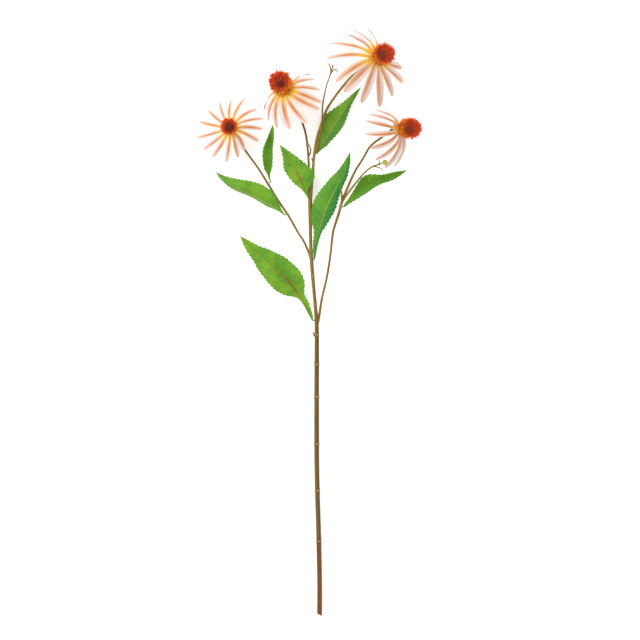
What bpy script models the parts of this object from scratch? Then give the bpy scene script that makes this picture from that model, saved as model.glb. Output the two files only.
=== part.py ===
"""Cut flowering stem of a coneflower, lying on its back: stem, seven leaves, a bud and four heads."""
import math
import random

import bmesh
import bpy
from mathutils import Matrix, Vector

# All sizes are millimetres: X to the right, Y up the stem, Z up from the surface the stem lies on.
MM = 0.001
GAP = 0.3
SURFACE_CLEARANCE = 1.3
WELD = 0.00001

# Stem
STEM_SAMPLE = 2.0
STEM_KEEP_EVERY = 15
JOINT_SWELLING = 0.16
JOINT_REACH = 2.2
CUT_SLOPE = 0.6

# Heads
PETAL_THICKNESS = 0.7
PETAL_FOLD = 0.22
PETAL_ROOT = 0.36
PETAL_WIDEST = 0.62
PETAL_ARCH = 0.42
PETAL_FACING_UP = 0.9
PETAL_ROWS = 5
PETAL_NOTCH = 0.2
PETAL_TAPER = 0.39
CONE_BASE = 0.62
FLORET_LENGTH = 0.17
CALYX_DEPTH = 9.0
CALYX_BRACTS = 10
GOLDEN_ANGLE = math.pi * (3 - math.sqrt(5))

# Leaves
LEAF_THICKNESS = 0.8
LEAF_ROWS = 18
LEAF_COLUMNS = 4
LEAF_TOOTH = 0.05
LEAF_STALK_LIFT = 2.5

# Centre of the petal ring, direction and size of each head's lean, cone radius, height of the cone's
# centre over the ring, how far the petal tips droop behind the ring, petal width, and the petal tips
# as they lie seen from above, clockwise, measured from the ring's centre
HEADS = {
    "bloom_1": {
        "centre": (-98.5, 241.4, 31.0), "lean": 14, "towards": (-0.7, 0.7), "radius": 12.0,
        "lift": 12.0, "droop": 20.0, "width": 8.4, "florets": 76,
        "tips": [(-43, -11.5), (-40, 9), (-28, 23.5), (-14, 34.5), (0.5, 37), (18, 38.5),
                 (33.5, 24.5), (41, 12), (40, -1), (35, -16), (22.5, -27.5), (9.5, -36.5),
                 (-6, -42.5), (-23, -36), (-34.5, -26.5)],
    },
    "bloom_2": {
        "centre": (-30.3, 290.0, 34.0), "lean": 45, "towards": (-0.6, 0.8), "radius": 16.5,
        "lift": 15.5, "droop": 26.0, "width": 11.4, "florets": 92,
        "tips": [(21, 22), (38, 12.5), (43.5, -1), (45.5, -16.5), (43, -25.5), (27, -43),
                 (5.5, -50.5), (-10, -49), (-21, -39.5), (-25.5, -24), (-21, 4), (-20, 14),
                 (-13, 21.5), (-2, 23), (7, 15)],
    },
    "bloom_3": {
        "centre": (84.6, 328.1, 36.0), "lean": 40, "towards": (0.85, 0.53), "radius": 15.6,
        "lift": 15.5, "droop": 24.0, "width": 12.2, "florets": 92,
        "tips": [(-63.5, -0.5), (-59, 18.5), (-40.5, 31), (-41, 40), (-12.5, 39), (9.5, 29),
                 (19.5, 20), (22, 8), (31, -9.5), (33, -28.5), (19.5, -46), (3, -60),
                 (-20, -56), (-42, -42.5), (-52, -30)],
    },
    "bloom_4": {
        "centre": (113.0, 240.2, 44.0), "lean": 58, "towards": (1.0, 0.03), "radius": 15.6,
        "lift": 15.5, "droop": 25.0, "width": 11.2, "florets": 92,
        "tips": [(-31, 23), (3, 11), (13, 14), (22.5, 11), (26, 2), (22.5, -10), (13, -13),
                 (-9, -47.5), (-19.5, -48.5), (-31, -38.5), (-38, -24.5), (-43.5, -7),
                 (-43.5, 9.5), (-38.5, 17.5)],
    },
}

# Each stem's route as (x, y, z, radius), and the heights along Y of its swollen joints
STEMS = {
    "main": {
        "route": [(12.5, -367.0, 3.4, 3.1), (12.5, -323.5, 4.2, 3.05), (11.5, -273.5, 5.2, 3.1),
                  (10.0, -223.5, 6.2, 3.0), (9.0, -179.5, 7.2, 3.05), (8.8, -136.0, 8.2, 3.1),
                  (8.8, -86.0, 9.4, 3.0), (9.0, -36.0, 10.8, 2.9), (8.7, -2.0, 12.0, 2.6),
                  (7.0, 21.5, 12.6, 2.1), (4.0, 55.5, 13.6, 2.2), (2.5, 74.0, 14.0, 2.4),
                  (1.5, 95.5, 14.6, 2.1), (1.0, 114.0, 15.0, 2.2), (1.0, 135.5, 15.6, 2.7),
                  (0.8, 152.0, 16.0, 2.6), (2.5, 168.0, 16.4, 1.9), (3.9, 185.0, 16.8, 1.8),
                  (5.0, 200.0, 17.2, 1.7), (6.5, 214.0, 17.4, 1.7), (9.5, 230.5, 17.2, 1.6),
                  (13.0, 241.5, 17.0, 1.6), (20.5, 263.0, 16.0, 1.6), (30.5, 279.5, 15.0, 1.6),
                  (47.0, 300.5, 14.0, 1.7), (60.0, 313.0, 14.6, 1.8)],
        "joints": [-275.2, -211.8, -153.4, -94.1, -53.5, -16.3, 21.75, 56.6, 89.1, 187.4],
        "head": "bloom_3",
    },
    "upper_left": {
        "route": [(0.8, 146.0, 15.8, 1.5), (-0.6, 158.0, 15.8, 1.5), (-1.0, 170.0, 15.4, 1.45),
                  (-1.1, 196.5, 14.8, 1.4), (-2.5, 218.0, 14.2, 1.35), (-5.0, 235.5, 13.6, 1.35),
                  (-9.5, 250.0, 13.6, 1.35), (-15.5, 266.5, 15.0, 1.4)],
        "joints": [220.0],
        "head": "bloom_2",
    },
    "left": {
        "route": [(2.4, 74.0, 14.0, 1.5), (-1.0, 86.0, 14.0, 1.5), (-7.5, 100.5, 14.0, 1.4),
                  (-14.5, 111.5, 14.0, 1.35), (-26.5, 132.5, 13.8, 1.4), (-39.0, 151.0, 13.0, 1.35),
                  (-51.0, 170.5, 12.0, 1.4), (-64.5, 192.0, 10.6, 1.3), (-80.0, 213.5, 9.2, 1.3),
                  (-91.0, 231.0, 8.6, 1.4)],
        "joints": [135.0, 172.5],
        "head": "bloom_1",
    },
    "right": {
        "route": [(8.9, -8.0, 11.8, 1.5), (10.5, -1.0, 12.2, 1.6), (13.0, 13.0, 13.0, 1.6),
                  (15.4, 28.5, 14.0, 1.5), (21.5, 55.0, 16.0, 1.5), (25.8, 81.5, 18.0, 1.5),
                  (28.8, 108.0, 20.0, 1.5), (31.6, 120.0, 20.8, 1.55), (36.8, 136.0, 22.0, 1.7),
                  (40.5, 149.5, 23.2, 1.6), (49.0, 171.0, 25.0, 1.5), (57.0, 188.0, 26.4, 1.45),
                  (67.0, 204.0, 27.6, 1.45), (77.0, 220.0, 28.6, 1.5)],
        "joints": [43.8, 145.0],
        "head": "bloom_4",
    },
}

# Thin twigs and pointed bracts, each grown from a stem and ending free
TWIGS = [
    [(5.8, 208.0, 17.6, 1.2), (9.0, 216.0, 21.0, 1.0), (13.5, 235.0, 26.0, 0.95),
     (15.6, 252.0, 28.6, 0.95), (16.4, 270.0, 30.2, 1.0), (20.4, 291.5, 31.6, 0.9),
     (26.5, 312.0, 32.8, 0.9), (23.8, 322.5, 34.0, 0.7)],
    [(26.0, 309.5, 32.6, 0.8), (28.4, 316.0, 33.4, 0.8), (29.0, 320.5, 34.0, 1.3)],
    [(24.6, 306.0, 32.2, 0.8), (30.0, 314.0, 33.4, 0.8), (34.0, 314.4, 33.8, 0.7),
     (35.4, 310.5, 33.6, 0.6)],
    [(40.2, 147.5, 23.0, 1.2), (43.6, 154.0, 25.0, 1.1), (55.8, 170.5, 29.6, 0.9),
     (67.0, 184.0, 34.2, 0.9), (77.4, 192.6, 37.8, 0.9), (90.2, 197.2, 39.9, 0.9)],
    [(80.6, 193.8, 38.4, 0.8), (87.5, 197.8, 40.6, 0.7), (85.4, 202.6, 41.6, 0.5)],
    [(79.4, 193.3, 38.1, 0.75), (87.0, 192.2, 39.0, 0.7), (92.0, 188.0, 38.6, 0.5)],
    [(40.0, 146.0, 22.8, 1.2), (40.4, 156.0, 26.5, 1.3), (38.8, 168.5, 30.0, 0.5)],
    [(5.0, 198.0, 17.2, 1.2), (3.4, 202.0, 18.4, 0.9), (2.2, 204.5, 19.4, 0.5)],
    [(-1.6, 206.0, 14.6, 0.9), (1.0, 211.0, 15.2, 1.0), (1.2, 217.0, 15.4, 0.8),
     (-1.4, 222.0, 14.4, 0.6)],
    [(8.6, -20.0, 11.2, 1.6), (5.2, -16.0, 12.4, 1.1), (4.0, -13.0, 13.4, 0.5)],
]

# Each leaf: the stem it grows from, the height along Y where it grows, the direction in which it
# leaves the stem, its midrib's points, the widths of its left and right halves as seen from above,
# at even steps from the stem to the tip, and how far each half folds up, at the stem and at the tip
LEAVES = {
    "leaf_fork": {
        "stem": "main", "at": 0.0, "out": (-1.0, 0.2, 0.7),
        "midrib": [(-9.5, 27.0, 17.0), (-23.5, 46.5, 19.5), (-39.0, 63.0, 20.0),
                   (-58.0, 79.0, 17.0), (-87.0, 107.0, 9.0)],
        "left": [0.6, 1.2, 1.4, 3.5, 13.5, 19.0, 20.0, 18.5, 15.8, 11.5, 9.2, 5.6, 0.4],
        "right": [0.9, 3.6, 5.6, 6.8, 16.2, 19.6, 19.2, 18.2, 16.2, 12.5, 7.4, 4.0, 0.4],
        "folds": ((6, 6), (14, 14)),
    },
    "leaf_left_low": {
        "stem": "left", "at": 135.0, "out": (-1.0, -0.2, 0.7),
        "midrib": [(-37.0, 138.5, 17.5), (-52.4, 146.5, 20.0), (-75.0, 158.5, 20.5),
                   (-97.0, 169.8, 18.0), (-117.0, 187.0, 13.0)],
        "left": [0.6, 1.3, 1.5, 2.0, 2.0, 2.0, 2.0, 2.2, 2.4, 2.8, 3.4, 3.2, 0.4],
        "right": [0.6, 2.2, 8.2, 14.2, 17.2, 18.5, 18.0, 15.8, 13.4, 10.4, 7.0, 3.0, 0.4],
        "folds": ((-78, -58), (10, 10)),
    },
    "leaf_left_high": {
        "stem": "left", "at": 172.5, "out": (0.8, 0.5, 0.5),
        "midrib": [(-51.6, 184.0, 14.0), (-52.0, 205.0, 17.0), (-49.3, 226.5, 18.0),
                   (-46.0, 246.0, 15.0)],
        "left": [0.6, 0.9, 1.4, 4.6, 6.0, 6.5, 6.6, 6.4, 5.6, 4.4, 3.2, 1.6, 0.4],
        "right": [0.6, 0.9, 2.6, 4.4, 5.5, 5.8, 6.0, 5.4, 5.0, 4.8, 3.9, 2.6, 0.4],
        "folds": ((50, 50), (46, 46)),
    },
    "leaf_middle_left": {
        "stem": "main", "at": 151.0, "out": (-0.5, 0.5, 1.0),
        "midrib": [(-5.0, 163.0, 22.0), (-15.0, 184.5, 24.5), (-24.0, 203.0, 24.0),
                   (-37.0, 220.5, 20.0)],
        "left": [0.6, 1.0, 2.8, 5.0, 8.5, 10.8, 12.2, 13.2, 12.4, 9.2, 6.0, 3.0, 0.4],
        "right": [0.6, 1.6, 4.5, 12.8, 19.0, 19.5, 16.5, 13.2, 9.8, 7.0, 4.5, 2.6, 0.4],
        "folds": ((8, 8), (-6, -6)),
    },
    "leaf_middle_right": {
        "stem": "main", "at": 75.5, "out": (0.7, 0.4, 0.8),
        "midrib": [(7.0, 92.0, 20.0), (12.0, 113.0, 23.0), (21.5, 142.0, 25.5),
                   (33.6, 168.0, 25.0), (42.6, 184.0, 23.0), (50.6, 211.8, 18.0)],
        "left": [0.6, 2.0, 4.0, 6.5, 13.0, 17.0, 18.2, 16.2, 13.5, 11.0, 7.5, 3.8, 0.4],
        "right": [0.6, 2.2, 2.8, 3.5, 6.8, 9.2, 10.5, 9.2, 7.5, 5.6, 5.0, 3.8, 0.4],
        "folds": ((6, 6), (-28, -28)),
    },
    "leaf_upper": {
        "stem": "main", "at": 209.0, "out": (0.8, 0.1, -0.9),
        "midrib": [(14.0, 217.0, 11.0), (20.5, 228.5, 10.5), (34.0, 250.0, 10.5),
                   (49.5, 273.0, 9.5), (64.0, 293.0, 8.0)],
        "left": [0.6, 2.6, 6.0, 7.8, 11.5, 15.2, 16.0, 12.8, 9.5, 6.5, 4.6, 2.8, 0.4],
        "right": [0.6, 1.6, 4.8, 7.0, 8.8, 9.5, 9.2, 7.8, 6.2, 4.0, 2.8, 1.8, 0.4],
        "folds": ((-8, -8), (-38, -38)),
    },
    "leaf_right": {
        "stem": "right", "at": 144.0, "out": (1.0, 0.1, -0.5),
        "midrib": [(48.0, 149.5, 20.5), (62.0, 164.5, 18.5), (80.0, 175.0, 17.0),
                   (100.5, 181.2, 15.0), (121.5, 189.0, 11.0)],
        "left": [0.6, 2.0, 2.4, 4.2, 6.8, 10.2, 10.4, 7.6, 5.6, 4.8, 4.0, 2.2, 0.4],
        "right": [0.6, 2.6, 5.0, 7.0, 8.2, 8.8, 8.2, 7.2, 5.8, 5.2, 4.6, 2.9, 0.4],
        "folds": ((42, 42), (46, 46)),
    },
}

BUD_CENTRE = (94.0, 198.4, 40.6)
BUD_RADIUS = 3.5

PETAL_PINK = (0.86, 0.60, 0.56)
CONE_ORANGE = (0.62, 0.16, 0.04)
CALYX_GREEN = (0.16, 0.30, 0.06)
LEAF_GREEN = (0.24, 0.44, 0.05)
STEM_OLIVE = (0.30, 0.21, 0.05)
BUD_GREEN = (0.50, 0.52, 0.10)


def surface(name, colour, roughness):
    """Principled material of one colour."""
    material = bpy.data.materials.new(name)
    material.use_nodes = True
    shader = material.node_tree.nodes["Principled BSDF"]
    shader.inputs["Base Color"].default_value = (*colour, 1.0)
    shader.inputs["Roughness"].default_value = roughness
    shader.inputs["Metallic"].default_value = 0.0
    return material


def new_object(name, mesh):
    """Object of a mesh, linked to the scene."""
    thing = bpy.data.objects.new(name, mesh)
    bpy.context.scene.collection.objects.link(thing)
    return thing


def object_from(name, form):
    """Object of a bmesh, which is freed."""
    mesh = bpy.data.meshes.new(name)
    form.to_mesh(mesh)
    form.free()
    return new_object(name, mesh)


def settle(thing):
    """Replace an object's mesh by what its modifiers make of it."""
    depsgraph = bpy.context.evaluated_depsgraph_get()
    mesh = bpy.data.meshes.new_from_object(thing.evaluated_get(depsgraph))
    thing.modifiers.clear()
    thing.data = mesh


def weld(thing):
    """Merge points that lie together and drop faces without area."""
    form = bmesh.new()
    form.from_mesh(thing.data)
    bmesh.ops.remove_doubles(form, verts=form.verts[:], dist=WELD)
    bmesh.ops.dissolve_degenerate(form, edges=form.edges[:], dist=WELD)
    bmesh.ops.recalc_face_normals(form, faces=form.faces[:])
    form.to_mesh(thing.data)
    form.free()


def is_closed(mesh):
    """Whether every edge of a mesh has two faces."""
    form = bmesh.new()
    form.from_mesh(mesh)
    closed = all(len(line.link_faces) == 2 for line in form.edges)
    form.free()
    return closed


def fuse(core, pieces):
    """Join the pieces to the core in one solid, and remove them."""
    shelf = bpy.data.collections.new("to_join")
    bpy.context.scene.collection.children.link(shelf)
    for piece in pieces:
        shelf.objects.link(piece)
    alone = core.data
    for solver in ("EXACT", "MANIFOLD"):
        core.data = alone
        union = core.modifiers.new("union", "BOOLEAN")
        union.operation = "UNION"
        union.operand_type = "COLLECTION"
        union.collection = shelf
        union.solver = solver
        settle(core)
        if is_closed(core.data):
            break
    for piece in pieces:
        bpy.data.objects.remove(piece)
    bpy.data.collections.remove(shelf)


def finish(thing, material):
    """Give a finished node its material and smooth shading."""
    thing.data.materials.clear()
    thing.data.materials.append(material)
    thing.data.shade_smooth()
    thing.data.set_sharp_from_angle(angle=math.radians(35))
    return thing


def blade(name, rows, columns, thickness, place):
    """Closed blade: an open grid placed by place(u, v), u from 0 to 1 and v from -1 to 1."""
    form = bmesh.new()
    bmesh.ops.create_grid(form, x_segments=columns, y_segments=rows, size=1.0)
    for vertex in form.verts:
        vertex.co = place((vertex.co.y + 1) / 2, vertex.co.x) * MM
    bmesh.ops.triangulate(form, faces=form.faces[:])
    thing = object_from(name, form)
    shell = thing.modifiers.new("thickness", "SOLIDIFY")
    shell.thickness = thickness * MM
    shell.offset = 0.0
    settle(thing)
    weld(thing)
    return thing


def turned(name, profile, sides):
    """Closed turned body on +Z: each ring is (radius, height, how far every other corner stands out)."""
    form = bmesh.new()
    rings = len(profile) + 1
    bmesh.ops.create_uvsphere(form, u_segments=sides, v_segments=rings, radius=1.0)
    for vertex in form.verts:
        ring = round(math.acos(max(-1.0, min(1.0, vertex.co.z))) / math.pi * rings)
        radius, height, star = profile[min(max(ring - 1, 0), len(profile) - 1)]
        if ring in (0, rings):
            vertex.co = (0.0, 0.0, height * MM)
        else:
            angle = math.atan2(vertex.co.y, vertex.co.x)
            reach = (radius + star * math.cos(sides / 2 * angle)) * MM
            vertex.co = (reach * math.cos(angle), reach * math.sin(angle), height * MM)
    return object_from(name, form)


def smooth_route(points):
    """Smooth curve through the points, sampled every STEM_SAMPLE millimetres."""
    knots = [Vector(point) for point in points]
    knots = [2 * knots[0] - knots[1]] + knots + [2 * knots[-1] - knots[-2]]
    route = []
    for before, start, end, after in zip(knots, knots[1:], knots[2:], knots[3:]):
        count = max(1, round((end - start).length / STEM_SAMPLE))
        for step in range(count):
            t = step / count
            bend = 2 * before - 5 * start + 4 * end - after
            twist = 3 * start - before - 3 * end + after
            route.append((2 * start + (end - before) * t + bend * t ** 2 + twist * t ** 3) / 2)
    route.append(knots[-2])
    return route


def tube(name, route, resolution=2):
    """Round stem along a route of (x, y, z, radius), with closed ends."""
    curve = bpy.data.curves.new(name, "CURVE")
    curve.dimensions = "3D"
    curve.bevel_depth = MM
    curve.bevel_resolution = resolution
    curve.use_fill_caps = True
    spline = curve.splines.new("POLY")
    spline.points.add(len(route) - 1)
    for point, (x, y, z, radius) in zip(spline.points, route):
        point.co = (x * MM, y * MM, z * MM, 1.0)
        point.radius = radius
    guide = new_object(name, curve)
    depsgraph = bpy.context.evaluated_depsgraph_get()
    mesh = bpy.data.meshes.new_from_object(guide.evaluated_get(depsgraph))
    bpy.data.objects.remove(guide)
    thing = new_object(name, mesh)
    weld(thing)
    return thing


def head_axis(head):
    """Direction in which a head faces."""
    lean = math.radians(head["lean"])
    flat = Vector((*head["towards"], 0.0)).normalized()
    return flat * math.sin(lean) + Vector((0, 0, 1)) * math.cos(lean)


def head_matrix(head, lift=0.0):
    """Placing of a piece that is modelled on +Z, lift millimetres over the head's petal ring."""
    axis = head_axis(head)
    place = (Vector(head["centre"]) + axis * lift) * MM
    return Matrix.Translation(place) @ axis.to_track_quat("Z", "Y").to_matrix().to_4x4()


def stem_routes():
    """Sampled route of each stem, whose last points turn into the back of its head."""
    routes = {}
    for name, stem in STEMS.items():
        head = HEADS[stem["head"]]
        axis = head_axis(head)
        centre = Vector(head["centre"])
        radius = stem["route"][-1][3]
        turn = centre - axis * (CALYX_DEPTH + 9.0)
        straight = centre - axis * (CALYX_DEPTH + 3.0)
        end = centre - axis * (CALYX_DEPTH + GAP)
        route = smooth_route(stem["route"] + [(*turn, radius), (*straight, radius * 1.15)])
        routes[name] = route + [Vector((*end, radius * 1.25))]
    return routes


def girth(point, joints):
    """Radius of a stem at a point of its route, with the swelling of the nearest joint."""
    near = min([abs(point.y - joint) for joint in joints], default=1000.0)
    return point.w * (1 + JOINT_SWELLING * math.exp(-(near / JOINT_REACH) ** 2))


def sparse(route, joints):
    """Fewer points of a route: every few, those round each joint, which swells, and the end."""
    kept = []
    for index, point in enumerate(route):
        near = min([abs(point.y - joint) for joint in joints], default=1000.0)
        if index % STEM_KEEP_EVERY and near > 3.0 and index < len(route) - 4:
            continue
        kept.append((point.x, point.y, point.z, girth(point, joints)))
    return kept


def build_stem(routes):
    """Whole branching stem with its twigs and bracts."""
    tubes = {}
    for name, route in routes.items():
        tubes[name] = tube("stem_" + name, sparse(route, STEMS[name]["joints"]))
    stem = tubes.pop("main")
    foot = Vector(STEMS["main"]["route"][0][:3]) * MM
    for vertex in stem.data.vertices:
        if abs(vertex.co.y - foot.y) < MM:
            vertex.co.y -= (vertex.co.x - foot.x) * CUT_SLOPE
    twigs = [tube("twig", smooth_route(points)[:-1:4] + [Vector(points[-1])], 1) for points in TWIGS]
    fuse(stem, list(tubes.values()) + twigs)
    stem.name = "stem"
    return finish(stem, surface("stem_olive", STEM_OLIVE, 0.55))


def petal_width(u):
    """Share of a petal's full width at a share u of its length."""
    spread = PETAL_ROOT + (1 - PETAL_ROOT) * math.sin(math.pi / 2 * min(1.0, u / PETAL_WIDEST))
    return spread * math.sqrt(1 - (max(0.0, u - PETAL_WIDEST) / PETAL_TAPER) ** 3)


def petal(root, handle, tip, reference, width):
    """Strap-shaped petal on a quadratic curve, its edges a little raised and its tip notched."""
    def place(u, v):
        centre = root * (1 - u) ** 2 + handle * 2 * u * (1 - u) + tip * u ** 2
        along = ((handle - root) * (1 - u) + (tip - handle) * u).normalized()
        side = along.cross(reference).normalized()
        face = side.cross(along)
        half = width / 2 * petal_width(u)
        notch = PETAL_NOTCH * max(0.0, u - 0.9) / 0.1 * (1 - abs(v))
        return centre + side * half * v + face * PETAL_FOLD * half * abs(v) - along * notch
    return blade("petal", PETAL_ROWS, 2, PETAL_THICKNESS, place)


def petal_curve(head, index, draw):
    """Root, handle, tip and facing of one petal of a head."""
    axis = head_axis(head)
    centre = Vector(head["centre"])
    ring = head["radius"] * 0.5
    turn = axis.to_track_quat("Z", "Y")
    first = turn.inverted() @ Vector((*head["tips"][0], 0.0))
    angle = math.atan2(first.y, first.x) - index * 2 * math.pi / len(head["tips"])
    x, y = head["tips"][index]
    drop = (-head["droop"] - axis.x * x - axis.y * y) / axis.z
    tip = centre + Vector((x, y, drop))
    tip.z = max(tip.z, SURFACE_CLEARANCE)
    radial = turn @ Vector((math.cos(angle), math.sin(angle), 0.0))
    root = centre + radial * ring + axis * (0.6 if index % 2 else -0.6)
    reach = (tip - root).length
    handle = root + radial * PETAL_ARCH * reach + axis * draw.uniform(0.0, 0.06) * reach
    return root, handle, tip, axis + radial + Vector((0, 0, PETAL_FACING_UP))


def build_petals(name, head):
    """Ring of petals on the head's round base."""
    draw = random.Random(name)
    ring = head["radius"] * 0.5
    top = head["lift"] - head["radius"] * CONE_BASE - GAP
    profile = [(ring * 0.9, top, 0), (ring + 0.6, 1.6, 0), (ring + 0.8, -1.2, 0), (ring, -2.2, 0)]
    base = turned(name + "_petals", profile, 14)
    base.data.transform(head_matrix(head))
    petals = []
    for index in range(len(head["tips"])):
        root, handle, tip, reference = petal_curve(head, index, draw)
        width = head["width"] * draw.uniform(0.88, 1.08)
        petals.append(petal(root, handle, tip, reference, width))
    fuse(base, petals)
    return finish(base, surface(name + "_pink", PETAL_PINK, 0.6))


def build_cone(name, head):
    """Ball-like cone: florets at even steps of a spiral, each drawn out to a point."""
    core = head["radius"] * (1 - FLORET_LENGTH)
    spread = 1 + CONE_BASE
    form = bmesh.new()
    for index in range(head["florets"]):
        height = 1 - spread * (index + 0.5) / head["florets"] * 0.97
        ring = math.sqrt(1 - height ** 2)
        angle = index * GOLDEN_ANGLE
        form.verts.new(Vector((ring * math.cos(angle), ring * math.sin(angle), height)) * core * MM)
    base = -CONE_BASE * head["radius"] * MM
    edge = math.sqrt(1 - CONE_BASE ** 2) * core * 0.9 * MM
    bmesh.ops.create_circle(form, segments=14, radius=edge, matrix=Matrix.Translation((0, 0, base)))
    bmesh.ops.convex_hull(form, input=form.verts[:])
    bmesh.ops.delete(form, geom=[v for v in form.verts if not v.link_faces], context="VERTS")
    lines = [line for line in form.edges if max(end.co.z for end in line.verts) > base * 0.999]
    bmesh.ops.subdivide_edges(form, edges=lines, cuts=1)
    for vertex in form.verts:
        if vertex.co.length > core * 0.999 * MM and vertex.co.z > base * 0.999:
            vertex.co *= 1 / (1 - FLORET_LENGTH)
    bmesh.ops.triangulate(form, faces=form.faces[:])
    bmesh.ops.recalc_face_normals(form, faces=form.faces[:])
    cone = object_from(name + "_cone", form)
    cone.matrix_world = head_matrix(head, head["lift"])
    return finish(cone, surface(name + "_orange", CONE_ORANGE, 0.7))


def build_calyx(name, head):
    """Green cup behind the petals, with two rows of pointed bracts."""
    ring = head["radius"] * 0.5
    back = -CALYX_DEPTH
    profile = [(ring * 0.9, -2.2 - GAP, 0), (ring + 2.4, -3.6, 2.6), (ring + 0.4, -4.4, 0.4),
               (ring + 0.6, -6.2, 2.0), (3.6, -7.6, 0.2), (2.4, back, 0)]
    calyx = turned(name + "_calyx", profile, 2 * CALYX_BRACTS)
    calyx.matrix_world = head_matrix(head)
    return finish(calyx, surface(name + "_green", CALYX_GREEN, 0.6))


def eased(values, share):
    """Value at a share of the way along a list, on a smooth curve through its entries."""
    place = share * (len(values) - 1)
    index = min(int(place), len(values) - 2)
    t = place - index
    before, start, end = values[max(index - 1, 0)], values[index], values[index + 1]
    after = values[min(index + 2, len(values) - 1)]
    bend = 2 * before - 5 * start + 4 * end - after
    twist = 3 * start - before - 3 * end + after
    return (2 * start + (end - before) * t + bend * t ** 2 + twist * t ** 3) / 2


def build_leaf(name, leaf, routes):
    """Toothed blade folded along its midrib, running down into a winged stalk on its stem."""
    origin = min(routes[leaf["stem"]], key=lambda point: abs(point.y - leaf["at"]))
    out = Vector(leaf["out"]).normalized()
    thick = girth(origin, STEMS[leaf["stem"]]["joints"])
    start = origin.to_3d() + out * (thick + GAP + LEAF_THICKNESS / 2)
    knots = [start, start + out * LEAF_STALK_LIFT] + [Vector(point) for point in leaf["midrib"]]
    midrib = [point.to_3d() for point in smooth_route([knot.to_4d() for knot in knots])]
    up = Vector((0, 0, 1))

    def place(u, v):
        rank = u * (len(midrib) - 1)
        index = min(int(rank), len(midrib) - 2)
        centre = midrib[index].lerp(midrib[index + 1], rank - index)
        along = (midrib[index + 1] - midrib[index]).normalized()
        side = along.cross(up).normalized()
        widths = leaf["right"] if v > 0 else leaf["left"]
        first, last = leaf["folds"][1 if v > 0 else 0]
        tooth = 1 + LEAF_TOOTH * (-1) ** round(u * LEAF_ROWS) * (abs(v) > 0.9)
        half = eased(widths, u) * tooth
        fold = math.radians(first + (last - first) * u) * min(1.0, 0.25 + 3 * u)
        return centre + side * half * v + up * half * abs(v) * math.tan(fold)
    thing = blade(name, LEAF_ROWS, LEAF_COLUMNS, LEAF_THICKNESS, place)
    return finish(thing, surface(name + "_green", LEAF_GREEN, 0.5))


def build_bud():
    """Small closed bud with ribbed scales."""
    rows = 7
    profile = []
    for row in range(rows):
        polar = math.pi * (row + 0.7) / (rows + 0.4)
        profile.append((BUD_RADIUS * math.sin(polar), BUD_RADIUS * math.cos(polar), 0.25))
    bud = turned("bud", profile, 12)
    bud.matrix_world = Matrix.Translation(Vector(BUD_CENTRE) * MM)
    return finish(bud, surface("bud_green", BUD_GREEN, 0.5))


def clear_scene():
    """Remove whatever the scene holds."""
    for thing in list(bpy.data.objects):
        bpy.data.objects.remove(thing)


def gather(parts):
    """Put the parts in one collection, with the plant's origin at the middle of its underside."""
    plant = bpy.data.collections.new("coneflower")
    bpy.context.scene.collection.children.link(plant)
    corners = []
    for part in parts:
        corners += [part.matrix_world @ vertex.co for vertex in part.data.vertices]
    lowest = Vector([min(corner[axis] for corner in corners) for axis in range(3)])
    highest = Vector([max(corner[axis] for corner in corners) for axis in range(3)])
    middle = (lowest + highest) / 2
    middle.z = lowest.z
    root = bpy.data.objects.new("coneflower_origin", None)
    root.location = -middle
    plant.objects.link(root)
    for part in parts:
        bpy.context.scene.collection.objects.unlink(part)
        plant.objects.link(part)
        part.parent = root


def main():
    clear_scene()
    routes = stem_routes()
    parts = [build_stem(routes), build_bud()]
    parts += [build_leaf(name, leaf, routes) for name, leaf in LEAVES.items()]
    for name, head in HEADS.items():
        parts += [build_cone(name, head), build_petals(name, head), build_calyx(name, head)]
    bpy.context.view_layer.update()
    gather(parts)


main()
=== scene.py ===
import math
import random

import bpy
import numpy as np
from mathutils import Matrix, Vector


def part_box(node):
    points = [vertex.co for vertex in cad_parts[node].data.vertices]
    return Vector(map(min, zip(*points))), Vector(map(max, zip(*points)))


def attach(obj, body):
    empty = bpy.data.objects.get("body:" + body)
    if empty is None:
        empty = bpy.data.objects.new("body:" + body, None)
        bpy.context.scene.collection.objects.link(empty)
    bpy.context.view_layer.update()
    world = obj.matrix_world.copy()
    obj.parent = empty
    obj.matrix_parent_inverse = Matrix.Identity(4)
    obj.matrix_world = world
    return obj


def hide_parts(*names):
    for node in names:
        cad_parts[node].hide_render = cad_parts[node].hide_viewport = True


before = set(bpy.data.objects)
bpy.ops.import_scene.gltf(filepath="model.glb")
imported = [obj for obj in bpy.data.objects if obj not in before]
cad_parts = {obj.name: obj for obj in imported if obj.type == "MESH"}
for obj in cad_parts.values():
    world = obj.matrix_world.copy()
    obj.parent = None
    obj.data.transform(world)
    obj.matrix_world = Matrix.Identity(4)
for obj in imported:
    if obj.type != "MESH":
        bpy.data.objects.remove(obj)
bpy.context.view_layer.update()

# All sizes are millimetres in the plant's own layout: X to the right, Y up the stem, Z up
MM = 0.001
SURFACE_CLEARANCE = 1.3
GAP = 0.3
TURN = 2 * math.pi
UP = np.array([0.0, 0.0, 1.0])
RIGHT = np.array([1.0, 0.0, 0.0])
GOLDEN_ANGLE = math.pi * (3 - math.sqrt(5))

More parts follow.
